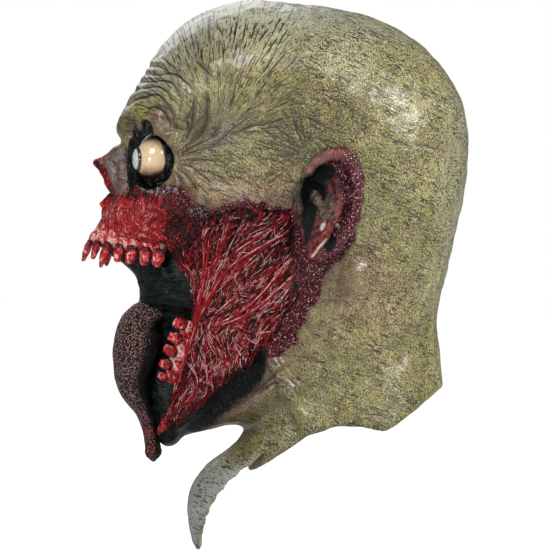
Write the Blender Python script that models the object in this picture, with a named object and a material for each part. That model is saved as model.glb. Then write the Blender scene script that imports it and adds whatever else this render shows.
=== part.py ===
"""An over-the-head latex mask of a rotting zombie, as the pieces it is glued up from.

The hollow head skin holds two eyeballs with lenses, an upper and a lower gum with separate teeth, a black mouth
lining, two ears, two cheek muscles and three foam fit pads. The tongue turns on its root in two directions and
the bib on the front of the neck lifts.

Sizes below are in millimetres and become metres when a mesh is made. The frame is +Z up, with the face towards
-Y and the wearer's left at +X. The origin is the middle of the crown pad's flat lower face, where the top of the
wearer's head bears.
"""

import math
from collections import namedtuple

import bmesh
import bpy
from mathutils import Matrix, Vector

MM = 0.001

# Driving dimensions.
SKIN_THICKNESS = 3.0
GLUE_GAP = 0.4
SLICE_TILT = math.radians(25)  # the neck opening and every slice of the head rise this much towards the back
RING_POINTS = 36

EYE_CENTRE = Vector((37.0, -100.0, -94.0))
EYE_RADIUS = 16.5
SOCKET_RADIUS = 18.6
GAZE_OUTWARD = math.radians(17)
LENS_HALF_ANGLE = math.radians(33)
LENS_BULGE = 1.8

EAR_CENTRE = Vector((0.0, 21.0, -125.0))
EAR_HALF_HEIGHT = 38.0
EAR_HALF_WIDTH = 26.0
EAR_LEAN = math.radians(16)

PAD_FOAM_GAP = 0.5
CROWN_PAD_RADIUS = 42.0

# One slice of the head: its height along the tilted axis, its front, back and widest places along the tilted
# plane, its half width there, and how fast it narrows to the front (0.5 is an ellipse, more is sharper).
Slice = namedtuple("Slice", "height front back widest half_width front_power")
HEAD_SLICES = [
    Slice(37, -68, -48, -58, 8, 0.5),
    Slice(34, -83, -27, -55, 34, 0.5),
    Slice(26, -100, -10, -54, 56, 0.5),
    Slice(14, -118, 10, -50, 72, 0.5),
    Slice(0, -138, 32, -40, 85, 0.5),
    Slice(-18, -148, 54, -25, 92, 0.55),
    Slice(-40, -156, 71, -12, 95, 0.62),
    Slice(-62, -184, 80, -2, 95, 0.68),
    Slice(-82, -198, 84, 2, 93, 0.7),
    Slice(-102, -184, 84, 2, 91, 0.72),
    Slice(-125, -176, 77, -3, 88, 0.8),
    Slice(-150, -182, 64, -12, 82, 0.8),
    Slice(-175, -195, 46, -28, 76, 0.8),
    Slice(-200, -205, 26, -45, 71, 0.8),
    Slice(-222, -208, 9, -60, 67, 0.8),
    Slice(-231, -204, 3, -64, 66, 0.8),
    Slice(-238, -166, 0, -75, 65, 0.6),
    Slice(-255, -163, -6, -82, 66, 0.5),
    Slice(-276, -168, -14, -90, 69, 0.5),
]

# A dental arch: the (Y, Z) of its back end, its forward and tooth directions, half width and length.
Arch = namedtuple("Arch", "back forward tooth half_width length")
UPPER_ARCH = Arch((-92.0, -160.0), (-0.99, 0.14), (-0.14, -0.99), 31.0, 56.0)
LOWER_ARCH = Arch((-73.5, -213.0), (-0.335, -0.942), (-0.942, 0.335), 27.0, 52.0)
GUM_HALF_HEIGHT = 5.0
GUM_HALF_DEPTH = 4.5
UPPER_TEETH_PER_SIDE = 7
LOWER_TEETH_PER_SIDE = 6
UPPER_CROWN = 10.5
LOWER_CROWN = 9.0
TOOTH_ROOT = 4.0

# Where the moving pieces turn: the tongue sways about Y and lifts about X, and the bib lifts about X.
SWAY_PIVOT = (0, -99, -206)
LIFT_PIVOT = (0, -107, -202.4)
BIB_PIVOT = (0, -41, -301)

MOUTH_APEX = (-94.0, -205.0)  # (Y, Z) where the mouth lining closes behind the tongue
LINING_THICKNESS = 1.5

# One section of the tongue: (Y, Z) of its middle, half width and half thickness.
TongueSection = namedtuple("TongueSection", "y z half_width half_thickness")
TONGUE_ROOT = [
    TongueSection(-99.0, -205.4, 7, 2.4),
    TongueSection(-101.4, -206.4, 11, 4.2),
    TongueSection(-104.0, -207.7, 14, 6.0),
]
TONGUE_BLADE = [
    TongueSection(-104.6, -208.0, 15, 6.4),
    TongueSection(-108.6, -210.0, 19, 9.0),
    TongueSection(-115.0, -222.0, 24, 14.0),
    TongueSection(-118.2, -238.0, 25, 13.4),
    TongueSection(-118.5, -254.0, 23, 11.0),
    TongueSection(-114.5, -269.0, 19, 9.5),
    TongueSection(-109.0, -283.0, 15, 7.4),
    TongueSection(-106.0, -297.0, 10, 5.4),
    TongueSection(-105.5, -307.0, 5, 3.0),
]

# One row of the bib: (Y, Z) at the mid-plane, half width, and how far its sides stand back and up.
BibRow = namedtuple("BibRow", "y z half_width side_back side_up")
BIB_ROWS = [
    BibRow(-41, -301, 43, 18, 8),
    BibRow(-51, -307, 43, 19, 1),
    BibRow(-62, -315, 41, 20, -7),
    BibRow(-72, -328, 35, 15, -8),
    BibRow(-77, -343, 26, 12, -6),
    BibRow(-76, -360, 14, 8, -4),
    BibRow(-71.5, -375, 3, 1, -0.5),
]
BIB_THICKNESS = 2.5
BIB_POINTS = 12


def slice_point(along, height, sideways=0.0):
    """The point at these places along the tilted slice plane, along its normal, and to the side."""
    y = along * math.cos(SLICE_TILT) - height * math.sin(SLICE_TILT)
    z = along * math.sin(SLICE_TILT) + height * math.cos(SLICE_TILT)
    return Vector((sideways, y, z))


def material(name, colour, roughness, metallic=0.0):
    made = bpy.data.materials.new(name)
    made.use_nodes = True
    shader = made.node_tree.nodes["Principled BSDF"]
    shader.inputs["Base Color"].default_value = (*colour, 1.0)
    shader.inputs["Roughness"].default_value = roughness
    shader.inputs["Metallic"].default_value = metallic
    return made


def add_object(name, bm, finish, cutter=False, origin=(0, 0, 0)):
    """Makes an object of a bmesh in millimetres, in metres round its origin, with its faces pointing out."""
    bmesh.ops.recalc_face_normals(bm, faces=bm.faces)
    bmesh.ops.translate(bm, vec=-Vector(origin), verts=bm.verts)
    bmesh.ops.scale(bm, vec=(MM, MM, MM), verts=bm.verts)
    mesh = bpy.data.meshes.new(name)
    bm.to_mesh(mesh)
    bm.free()
    mesh.shade_smooth()
    mesh.set_sharp_from_angle(angle=math.radians(45))
    obj = bpy.data.objects.new(name, mesh)
    obj.location = Vector(origin) * MM
    bpy.context.scene.collection.objects.link(obj)
    if cutter:
        obj.hide_render = True
        obj.display_type = "WIRE"
    else:
        mesh.materials.append(finish)
    return obj


def boolean(obj, other, operation):
    modifier = obj.modifiers.new(operation.lower() + "_" + other.name, "BOOLEAN")
    modifier.operation = operation
    modifier.solver = "EXACT"
    modifier.object = other


def loft(rings, close_start=True, close_end=True):
    """A bmesh through rings of equal point counts, with a flat cap at each closed end."""
    bm = bmesh.new()
    loops = [[bm.verts.new(p) for p in ring] for ring in rings]
    count = len(loops[0])
    for lower, upper in zip(loops, loops[1:]):
        for i in range(count):
            j = (i + 1) % count
            bm.faces.new((lower[i], lower[j], upper[j], upper[i]))
    if close_start:
        bm.faces.new(loops[0][::-1])
    if close_end:
        bm.faces.new(loops[-1])
    return bm


def prism(profile, low_x, high_x):
    """A bmesh of a (Y, Z) outline extruded along X."""
    return loft([[Vector((x, y, z)) for y, z in profile] for x in (low_x, high_x)])


def head_ring(cut):
    """The closed outline of one slice of the head."""
    ring = []
    for i in range(RING_POINTS):
        angle = 2 * math.pi * i / RING_POINTS
        reach, side = math.cos(angle), math.sin(angle)
        if reach < 0:
            along = cut.widest + (cut.widest - cut.front) * reach
            power = cut.front_power
        else:
            along = cut.widest + (cut.back - cut.widest) * reach
            power = 0.5
        width = cut.half_width * abs(side) ** (2 * power)
        ring.append(slice_point(along, cut.height, math.copysign(width, side)))
    return ring


def head_solid(name, grow):
    """The whole head as one closed solid running on below the neck edge, every face moved out by grow."""
    cuts = HEAD_SLICES + [HEAD_SLICES[-1]._replace(height=HEAD_SLICES[-1].height - 20)]
    bm = loft([head_ring(c) for c in cuts])
    bmesh.ops.recalc_face_normals(bm, faces=bm.faces)
    bm.normal_update()
    moves = [(v, v.normal * grow * v.calc_shell_factor()) for v in bm.verts]
    for vert, move in moves:
        vert.co += move
    return add_object(name, bm, None, cutter=True)


def ball(centre, radius, segments, rings):
    bm = bmesh.new()
    bmesh.ops.create_uvsphere(
        bm, u_segments=segments, v_segments=rings, radius=radius, matrix=Matrix.Translation(centre)
    )
    return bm


def mirrored(point, side):
    return Vector((point.x * side, point.y, point.z))


def make_head_skin(finish):
    """The cast skin: a shell open at the neck, with a nose, and with the mouth, eyes and nostril cut through."""
    bm = loft([head_ring(c) for c in HEAD_SLICES], close_end=False)
    skin = add_object("head_skin", bm, finish)
    wall = skin.modifiers.new("wall", "SOLIDIFY")
    wall.thickness = SKIN_THICKNESS * MM
    wall.offset = -1
    wall.use_even_offset = True

    base, tip = 13.0, 5.0
    nose_base = [(base, -112, -78), (-base, -112, -78), (-base, -112, -126), (base, -112, -126)]
    nose_tip = [(tip, -141, -92), (-tip, -141, -92), (-tip, -146, -100), (tip, -146, -100)]
    nose = add_object("nose_form", loft([nose_base, nose_tip]), None, cutter=True)
    boolean(skin, nose, "UNION")

    nostril_profile = [(-150, -101), (-116, -101), (-116, -122), (-150, -118)]
    nostril = add_object("nostril_cutter", prism(nostril_profile, -8, 8), None, cutter=True)
    boolean(skin, nostril, "DIFFERENCE")

    mouth_profile = [
        (-190, -145.8),
        (-154, -145.8),
        (-85, -155.4),
        (-85, -170),
        (-70, -200),
        (-67, -211.5),
        (-85.5, -265),
        (-190, -262),
    ]
    mouth = add_object("mouth_cutter", prism(mouth_profile, -140, 140), None, cutter=True)
    boolean(skin, mouth, "DIFFERENCE")

    for side, word in ((1, "left"), (-1, "right")):
        hole = ball(mirrored(EYE_CENTRE, side), SOCKET_RADIUS, 20, 12)
        boolean(skin, add_object(word + "_socket_cutter", hole, None, cutter=True), "DIFFERENCE")

    notch_clear = 1.5
    notch_profile = [(-90, -299), (-41, -299.5), (-17, -290), (-10, -300), (-10, -340), (-90, -340)]
    notch_half = BIB_ROWS[0].half_width + notch_clear
    notch = add_object("bib_notch_cutter", prism(notch_profile, -notch_half, notch_half), None, cutter=True)
    boolean(skin, notch, "DIFFERENCE")


def make_bib(finish):
    """The pointed flap of skin that hangs on the wearer's chest."""
    bm = bmesh.new()
    rows = []
    for row in BIB_ROWS:
        points = []
        for i in range(BIB_POINTS + 1):
            across = 2 * i / BIB_POINTS - 1
            drop = across * across
            place = (row.half_width * across, row.y + row.side_back * drop, row.z + row.side_up * drop)
            points.append(bm.verts.new(place))
        rows.append(points)
    for upper, lower in zip(rows, rows[1:]):
        for i in range(BIB_POINTS):
            bm.faces.new((upper[i], lower[i], lower[i + 1], upper[i + 1]))
    bib = add_object("front_bib", bm, finish, origin=BIB_PIVOT)
    wall = bib.modifiers.new("wall", "SOLIDIFY")
    wall.thickness = BIB_THICKNESS * MM
    wall.offset = 0


def make_ears(finish, head_grown):
    """Two dished ears, each flared out at its back edge and cut to sit on the curve of the head."""
    # Each ring: how far out its middle lies, how large it is, and how far it is shifted back.
    dish = [
        (74, 0.62, -6),
        (92, 0.66, -5),
        (97, 0.99, 0),
        (100.5, 0.97, 0),
        (99.5, 0.84, 0),
        (94, 0.62, -4),
        (92, 0.3, -6),
    ]
    points = 24
    flare = 7.0
    lobe_share = 0.62
    for side, word in ((1, "left"), (-1, "right")):
        rings = []
        for out, size, shift in dish:
            ring = []
            for i in range(points):
                angle = 2 * math.pi * i / points
                below = max(0.0, -math.sin(angle))
                narrowing = 1 - (1 - lobe_share) * below * below
                back = math.cos(angle) * narrowing - 0.2 * below * below
                across = EAR_HALF_WIDTH * size * back + shift
                up = EAR_HALF_HEIGHT * size * math.sin(angle)
                y = across * math.cos(EAR_LEAN) + up * math.sin(EAR_LEAN)
                z = up * math.cos(EAR_LEAN) - across * math.sin(EAR_LEAN)
                reach = out + flare * size * back
                ring.append(Vector((reach * side, EAR_CENTRE.y + y, EAR_CENTRE.z + z)))
            rings.append(ring)
        ear = add_object(word + "_ear", loft(rings), finish)
        boolean(ear, head_grown, "DIFFERENCE")


def make_eyes(eyeball_finish, lens_finish):
    """A ball and a domed lens in each socket, both looking forward and a little outward."""
    inner = EYE_RADIUS + GLUE_GAP
    steps, points = 4, 20
    for side, word in ((1, "left"), (-1, "right")):
        centre = mirrored(EYE_CENTRE, side)
        add_object(word + "_eyeball", ball(centre, EYE_RADIUS, 24, 14), eyeball_finish)
        gaze = Vector((side * math.sin(GAZE_OUTWARD), -math.cos(GAZE_OUTWARD), 0))
        turn = Vector((0, 0, 1)).rotation_difference(gaze).to_matrix()
        rings = []
        for k in range(steps, 0, -1):
            rings.append(cap_ring(centre, turn, inner, LENS_HALF_ANGLE * k / steps, points))
        rings.reverse()
        for k in range(steps, 0, -1):
            share = k / steps
            bulge = inner + 0.6 + LENS_BULGE * (1 - share * share)
            rings.append(cap_ring(centre, turn, bulge, LENS_HALF_ANGLE * share, points))
        add_object(word + "_eye_lens", loft(rings), lens_finish)


def cap_ring(centre, turn, radius, angle, points):
    """A circle on a sphere, at this angle from the axis that turn points along."""
    ring = []
    for i in range(points):
        round_axis = 2 * math.pi * i / points
        local = Vector((math.sin(angle) * math.cos(round_axis), math.sin(angle) * math.sin(round_axis), math.cos(angle)))
        ring.append(centre + turn @ (local * radius))
    return ring


def arch_point(arch, angle, grow=0.0, rise=0.0):
    """A point on the arch's half ellipse (angle 0 is the left back end), grown sideways and raised along the teeth."""
    sideways = (arch.half_width + grow) * math.cos(angle)
    forward = (arch.length + grow) * math.sin(angle)
    y = arch.back[0] + arch.forward[0] * forward + arch.tooth[0] * rise
    z = arch.back[1] + arch.forward[1] * forward + arch.tooth[1] * rise
    return Vector((sideways, y, z))


def arch_angle(arch, share):
    """The angle at which this share of the arch's left half, by length, has been passed from its back end."""
    steps = 180
    points = [arch_point(arch, math.pi / 2 * i / steps) for i in range(steps + 1)]
    passed = [0.0]
    for a, b in zip(points, points[1:]):
        passed.append(passed[-1] + (b - a).length)
    reached = next(i for i, length in enumerate(passed) if length >= share * passed[-1])
    return math.pi / 2 * reached / steps


def tooth_rings(arch, angle, length, width, grow):
    """The rings of one tooth, from the tip of its root to its biting edge, grown by grow to make its seat."""
    centre = arch_point(arch, angle)
    outward = (arch_point(arch, angle, grow=1.0) - centre).normalized()
    up = Vector((0, *arch.tooth)).normalized()
    outward = (outward - up * outward.dot(up)).normalized()
    beside = outward.cross(up)
    # Each ring: its height from the gum's middle, and the shares of the width across and through it.
    shape = [
        (GUM_HALF_HEIGHT - TOOTH_ROOT - grow, 0.5, 0.45),
        (GUM_HALF_HEIGHT - 1.5, 0.8, 0.7),
        (GUM_HALF_HEIGHT + 0.45 * length, 1.0, 0.72),
        (GUM_HALF_HEIGHT + length, 0.72, 0.3),
    ]
    rings = []
    for height, across, through in shape:
        ring = []
        for i in range(8):
            turn = 2 * math.pi * (i + 0.5) / 8
            side = beside * (0.5 * width * across + grow) * math.cos(turn)
            depth = outward * (0.5 * width * through + grow) * math.sin(turn)
            ring.append(centre + up * height + side + depth)
        rings.append(ring)
    return rings


def make_jaw(name, arch, per_side, crown, gum_finish, tooth_finish):
    """A gum strip along the arch, and its teeth, each with its root in its own seat."""
    ends = math.radians(4)
    stations = 22
    rings = []
    for i in range(stations + 1):
        angle = -ends + (math.pi + 2 * ends) * i / stations
        section = []
        for grow, rise in ((-1, -1), (-1, 1), (1, 1), (1, -1)):
            section.append(arch_point(arch, angle, grow * GUM_HALF_DEPTH, rise * GUM_HALF_HEIGHT))
        rings.append(section)
    gum = add_object(name + "_gum", loft(rings), gum_finish)

    seats = bmesh.new()
    for number in range(per_side):
        share = (number + 0.6) / (per_side + 0.1)
        quarter = arch_angle(arch, share)
        length = crown * (0.82 + 0.18 * share)
        width = 8.4 - 1.6 * share
        for side, word in ((1, "left"), (-1, "right")):
            angle = quarter if side > 0 else math.pi - quarter
            tooth = loft(tooth_rings(arch, angle, length, width, 0.0))
            add_object(f"{name}_tooth_{word}_{number + 1}", tooth, tooth_finish)
            seat = loft(tooth_rings(arch, angle, length, width, GLUE_GAP))
            spare = bpy.data.meshes.new("seat")
            seat.to_mesh(spare)
            seat.free()
            seats.from_mesh(spare)
            bpy.data.meshes.remove(spare)
    boolean(gum, add_object(name + "_seat_cutter", seats, None, cutter=True), "DIFFERENCE")


def make_mouth_lining(finish):
    """The black trough between the two arches, closing on a short line behind the tongue's root."""
    rim = []
    steps = 10
    inset = -(GUM_HALF_DEPTH + 1.0 + LINING_THICKNESS)
    for i in range(steps + 1):
        rim.append(arch_point(UPPER_ARCH, math.pi * i / steps, inset, 0))
    lower = [arch_point(LOWER_ARCH, math.pi * i / steps, inset, 0) for i in range(steps + 1)][::-1]
    rim += [rim[-1].lerp(lower[0], share) for share in (0.33, 0.67)]
    rim += lower
    rim += [lower[-1].lerp(rim[0], share) for share in (0.33, 0.67)]
    apex = Vector((0, *MOUTH_APEX))
    rings = []
    for share, width_share in ((1.0, 1.0), (0.8, 0.96), (0.6, 0.9), (0.4, 0.84), (0.22, 0.78)):
        ring = []
        for p in rim:
            point = apex.lerp(p, share)
            point.x = p.x * width_share
            ring.append(point)
        rings.append(ring)
    lining = add_object("mouth_lining", loft(rings, close_start=False), finish)
    wall = lining.modifiers.new("wall", "SOLIDIFY")
    wall.thickness = LINING_THICKNESS * MM
    wall.offset = -1


def tongue_rings(sections):
    """Flattened rounds square to the tongue's middle line."""
    points = 16
    rings = []
    for k, section in enumerate(sections):
        before, after = sections[max(k - 1, 0)], sections[min(k + 1, len(sections) - 1)]
        run = Vector((0, after.y - before.y, after.z - before.z)).normalized()
        across = Vector((1, 0, 0))
        thick = run.cross(across)
        middle = Vector((0, section.y, section.z))
        ring = []
        for i in range(points):
            turn = 2 * math.pi * i / points
            side = across * section.half_width * math.cos(turn)
            ring.append(middle + side + thick * section.half_thickness * math.sin(turn))
        rings.append(ring)
    return rings


def make_tongue(finish):
    """The root, which turns from side to side, and the blade, which lifts on it."""
    add_object("tongue_root", loft(tongue_rings(TONGUE_ROOT)), finish, origin=SWAY_PIVOT)
    add_object("tongue_blade", loft(tongue_rings(TONGUE_BLADE)), finish, origin=LIFT_PIVOT)


def make_cheek_muscles(finish, head_near, head_far):
    """The stringy flesh built up on each cheek, from the cheekbone to the chin, seated on the skin."""
    outline = [
        (-83, -166),
        (-66, -158),
        (-60, -130),
        (-38, -124),
        (-8, -128),
        (-8, -172),
        (-2, -196),
        (-24, -231),
        (-56, -262),
        (-84, -284),
        (-92, -276),
        (-84, -263),
        (-66, -212),
        (-68, -199),
    ]
    for side, word in ((1, "left"), (-1, "right")):
        edges = sorted((side * 12.0, side * 120.0))
        muscle = add_object(word + "_cheek_muscle", prism(outline, *edges), finish)
        boolean(muscle, head_far, "INTERSECT")
        boolean(muscle, head_near, "DIFFERENCE")


def make_pads(finish, head_inside):
    """Foam pads glued inside the skin, so that an oversize head sits still on the wearer's."""
    bm = bmesh.new()
    pad_top = 40.0
    bmesh.ops.create_cone(
        bm, cap_ends=True, segments=32, radius1=CROWN_PAD_RADIUS, radius2=CROWN_PAD_RADIUS, depth=pad_top
    )
    bmesh.ops.translate(bm, vec=(0, 0, pad_top / 2), verts=bm.verts)
    boolean(add_object("crown_pad", bm, finish), head_inside, "INTERSECT")

    brow = [(-140, -62), (-99, -62), (-99, -34), (-140, -34)]
    boolean(add_object("brow_pad", prism(brow, -38, 38), finish), head_inside, "INTERSECT")

    nape = [(103, -112), (140, -112), (140, -78), (103, -78)]
    boolean(add_object("nape_pad", prism(nape, -36, 36), finish), head_inside, "INTERSECT")


def clear_scene():
    for obj in list(bpy.data.objects):
        bpy.data.objects.remove(obj)


def build():
    clear_scene()
    olive = material("olive_latex", (0.33, 0.31, 0.17), 0.45)
    blood = material("blood_latex", (0.30, 0.02, 0.025), 0.25)
    tongue_finish = material("tongue_latex", (0.12, 0.05, 0.055), 0.5)
    bone = material("stained_tooth", (0.62, 0.20, 0.14), 0.2)
    eyeball = material("painted_eyeball", (0.80, 0.62, 0.36), 0.1)
    lens = material("clouded_lens", (0.80, 0.80, 0.76), 0.05)
    black = material("black_latex", (0.01, 0.015, 0.015), 0.35)
    foam = material("grey_foam", (0.25, 0.25, 0.25), 0.9)

    head_near = head_solid("head_near_form", GLUE_GAP)
    head_far = head_solid("head_far_form", 3.5)
    head_inside = head_solid("head_inside_form", -(SKIN_THICKNESS + PAD_FOAM_GAP))

    make_head_skin(olive)
    make_bib(olive)
    make_ears(blood, head_near)
    make_eyes(eyeball, lens)
    make_jaw("upper", UPPER_ARCH, UPPER_TEETH_PER_SIDE, UPPER_CROWN, blood, bone)
    make_jaw("lower", LOWER_ARCH, LOWER_TEETH_PER_SIDE, LOWER_CROWN, blood, bone)
    make_mouth_lining(black)
    make_tongue(tongue_finish)
    make_cheek_muscles(blood, head_near, head_far)
    make_pads(foam, head_inside)


build()
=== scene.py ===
"""The looks of the zombie mask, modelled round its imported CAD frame.

Lengths are in millimetres in the frame's axes: +Z up, the face towards -Y and the wearer's left at +X.
They become metres when a mesh is made. Soft forms are "clay": distances on a grid, to which rounded
shapes are added and cut, and which a surface net turns into a mesh. Only the wearer's left half of the
head is worked, and then mirrored.
"""

import math

import bpy
import numpy as np
from mathutils import Matrix, Vector


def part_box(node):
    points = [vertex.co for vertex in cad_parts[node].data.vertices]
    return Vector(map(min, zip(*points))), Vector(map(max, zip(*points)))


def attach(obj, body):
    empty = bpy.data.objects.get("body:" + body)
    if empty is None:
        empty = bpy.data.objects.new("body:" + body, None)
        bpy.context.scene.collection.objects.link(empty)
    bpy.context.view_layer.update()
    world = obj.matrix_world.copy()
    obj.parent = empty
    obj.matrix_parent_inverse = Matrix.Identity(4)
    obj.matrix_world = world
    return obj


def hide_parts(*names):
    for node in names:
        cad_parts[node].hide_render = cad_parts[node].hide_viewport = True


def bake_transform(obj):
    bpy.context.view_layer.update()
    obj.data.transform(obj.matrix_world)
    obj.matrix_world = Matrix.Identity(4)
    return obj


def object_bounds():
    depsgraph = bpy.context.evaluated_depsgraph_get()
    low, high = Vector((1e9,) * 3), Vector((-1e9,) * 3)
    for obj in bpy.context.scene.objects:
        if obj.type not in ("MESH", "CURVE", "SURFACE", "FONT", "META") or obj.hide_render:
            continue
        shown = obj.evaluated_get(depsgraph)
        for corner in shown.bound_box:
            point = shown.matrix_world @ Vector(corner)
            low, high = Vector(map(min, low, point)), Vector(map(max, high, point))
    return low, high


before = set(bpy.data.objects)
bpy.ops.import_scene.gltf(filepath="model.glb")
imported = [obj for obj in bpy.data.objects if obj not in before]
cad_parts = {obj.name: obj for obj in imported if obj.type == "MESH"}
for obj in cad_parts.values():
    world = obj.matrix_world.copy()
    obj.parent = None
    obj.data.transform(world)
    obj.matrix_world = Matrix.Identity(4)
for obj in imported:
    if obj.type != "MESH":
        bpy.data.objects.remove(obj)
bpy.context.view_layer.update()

MM = 0.001
PER_METRE = 1000.0
# The distance that clay starts with, further than any surface is worked from.
FAR = 60.0
COARSE = 1.0
SEED = 31
SIDES = ((1, "left"), (-1, "right"))
random = np.random.default_rng(SEED)


# ---------------------------------------------------------------- places taken from the frame


def node_box(node):
    """A CAD node's lowest and highest corners."""
    low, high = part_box(node)
    return np.array(low) / MM, np.array(high) / MM


def node_centre(node):
    low, high = node_box(node)
    return (low + high) / 2


EYE = node_centre("left_eyeball")
EYE_RADIUS = (node_box("left_eyeball")[1][2] - node_box("left_eyeball")[0][2]) / 2
LENS = node_centre("left_eye_lens")
EAR_LOW, EAR_HIGH = node_box("left_ear")
BIB_TIP = node_box("front_bib")[0][2]


# ---------------------------------------------------------------- small numeric helpers


def blend_min(a, b, reach):
    """The smaller of two values, rounded off where they are within reach of each other."""
    share = np.clip(0.5 + 0.5 * (b - a) / reach, 0, 1)
    return b + (a - b) * share - reach * share * (1 - share)


def blend_max(a, b, reach):
    """The larger of two values, rounded off in the same way."""
    return -blend_min(-a, -b, reach)


def ease(value, low, high):
    """0 below low, 1 above high, with a smooth change between them (also when high is the smaller)."""
    share = np.clip((value - low) / (high - low), 0, 1)
    return share * share * (3 - 2 * share)


def curve_through(places, values, at):
    """A smooth curve through values at rising places, read at any place."""
    places, values = np.array(places, float), np.array(values, float)
    slopes = np.gradient(values, places)
    k = np.clip(np.searchsorted(places, at) - 1, 0, len(places) - 2)
    step = places[k + 1] - places[k]
    t = np.clip((at - places[k]) / step, 0, 1)
    hold = 2 * t**3 - 3 * t**2 + 1
    start = (t**3 - 2 * t**2 + t) * slopes[k] * step
    end = (t**3 - t**2) * slopes[k + 1] * step
    return hold * values[k] + (1 - hold) * values[k + 1] + start + end


def lumps(points, size, seed=0):
    """Smooth random values from -1 to 1 whose lumps are about size across."""
    count = 32
    lattice = np.random.default_rng(seed).uniform(-1, 1, (count, count, count)).astype(np.float32)
    cell = points / size + 500.0
    base = np.floor(cell).astype(int)
    t = cell - base
    t = t * t * (3 - 2 * t)
    total = 0.0
    for corner in np.ndindex(2, 2, 2):
        weight = 1.0
        for axis in range(3):
            weight = weight * (t[:, axis] if corner[axis] else 1 - t[:, axis])
        i, j, k = ((base[:, axis] + corner[axis]) % count for axis in range(3))
        total = total + weight * lattice[i, j, k]
    return total


def rough(points, size, layers=3, seed=0):
    """Lumps at several sizes, each layer half the size and half the height of the last."""
    return sum(lumps(points, size / 2**k, seed + k) / 2**k for k in range(layers))


def distance_to_path(points, path):
    """Each 2-D point's distance to the path, and how far along it (0 to 1) the nearest place is."""
    path = np.array(path, float)
    lengths = np.linalg.norm(np.diff(path, axis=0), axis=1)
    starts = np.concatenate([[0], np.cumsum(lengths)])
    nearest = np.full(len(points), np.inf)
    along = np.zeros(len(points))
    for k in range(len(path) - 1):
        run = path[k + 1] - path[k]
        t = np.clip((points - path[k]) @ run / (run @ run), 0, 1)
        away = np.linalg.norm(points - path[k] - t[:, None] * run, axis=1)
        closer = away < nearest
        nearest[closer] = away[closer]
        along[closer] = (starts[k] + t[closer] * lengths[k]) / starts[-1]
    return nearest, along


def trail(points, path, outer, inner):
    """1 along a path and 0 away from it, fading between two distances off it."""
    return ease(distance_to_path(points, path)[0], outer, inner)


def patch(points, centre, radii, outer, inner):
    """1 at a place and 0 away from it, fading between two distances off it, counted in radii."""
    return ease(np.linalg.norm((points - centre) / radii, axis=1), outer, inner)


def inside_outline(y, z, outline):
    """The signed distance of (y, z) places to a closed outline, negative inside."""
    outline = np.array(outline, float)
    points = np.stack(np.broadcast_arrays(y, z), -1)
    flat = points.reshape(-1, 2)
    nearest = distance_to_path(flat, np.vstack([outline, outline[:1]]))[0]
    within = np.zeros(len(flat), bool)
    for a, b in zip(outline, np.roll(outline, -1, axis=0)):
        spans = (a[1] > flat[:, 1]) != (b[1] > flat[:, 1])
        rise = b[1] - a[1] if b[1] != a[1] else 1e-9
        reach = a[0] + (flat[:, 1] - a[1]) * (b[0] - a[0]) / rise
        within ^= spans & (flat[:, 0] < reach)
    return np.where(within, -nearest, nearest).reshape(points.shape[:-1])


# ---------------------------------------------------------------- clay


def spaced(*stops):
    """Grid places from (start, pitch) stops to a last (end, None) stop."""
    places = []
    for (start, pitch), (end, _) in zip(stops, stops[1:]):
        count = max(int(round((end - start) / (pitch * COARSE))), 1)
        places.append(np.linspace(start, end, count, endpoint=False))
    places.append([stops[-1][0]])
    return np.concatenate(places)


class Clay:
    """Distances to a surface (negative inside) on a grid of x, y and z places."""

    def __init__(self, xs, ys, zs):
        self.axes = (xs, ys, zs)
        self.value = np.full((len(xs), len(ys), len(zs)), FAR, np.float32)

    def places(self):
        """The grid's x, y and z places, shaped so that they combine into the whole grid."""
        x, y, z = self.axes
        return x[:, None, None], y[None, :, None], z[None, None, :]

    def work(self, shape, combine, reach):
        """Combines a shape with the clay, in the part of the grid that it can change."""
        distance, low, high = shape
        margin = reach + 3.0
        cuts = []
        for axis, lo, hi in zip(self.axes, low, high):
            first = max(int(np.searchsorted(axis, lo - margin)) - 1, 0)
            last = int(np.searchsorted(axis, hi + margin)) + 1
            cuts.append(slice(first, last))
        cuts = tuple(cuts)
        x, y, z = (axis[cut] for axis, cut in zip(self.axes, cuts))
        if min(len(x), len(y), len(z)) == 0:
            return
        other = distance(x[:, None, None], y[None, :, None], z[None, None, :])
        self.value[cuts] = combine(self.value[cuts], other, reach)

    def add(self, *shapes, reach=4.0):
        """Adds shapes, with fillets about reach wide where they meet the clay."""
        for shape in shapes:
            self.work(shape, blend_min, reach)

    def cut(self, *shapes, reach=3.0):
        """Cuts shapes away, with edges rounded by about reach."""
        for distance, low, high in shapes:
            self.work((lambda x, y, z, d=distance: -d(x, y, z), low, high), blend_max, reach)

    def sample(self, points):
        """The distance at any points, by interpolation."""
        cells, shares = [], []
        for axis, column in zip(self.axes, points.T):
            cell = np.clip(np.searchsorted(axis, column) - 1, 0, len(axis) - 2)
            cells.append(cell)
            shares.append(np.clip((column - axis[cell]) / (axis[cell + 1] - axis[cell]), 0, 1))
        total = 0.0
        for corner in np.ndindex(2, 2, 2):
            weight = 1.0
            for share, side in zip(shares, corner):
                weight = weight * (share if side else 1 - share)
            i, j, k = (cell + side for cell, side in zip(cells, corner))
            total = total + weight * self.value[i, j, k]
        return total


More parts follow.
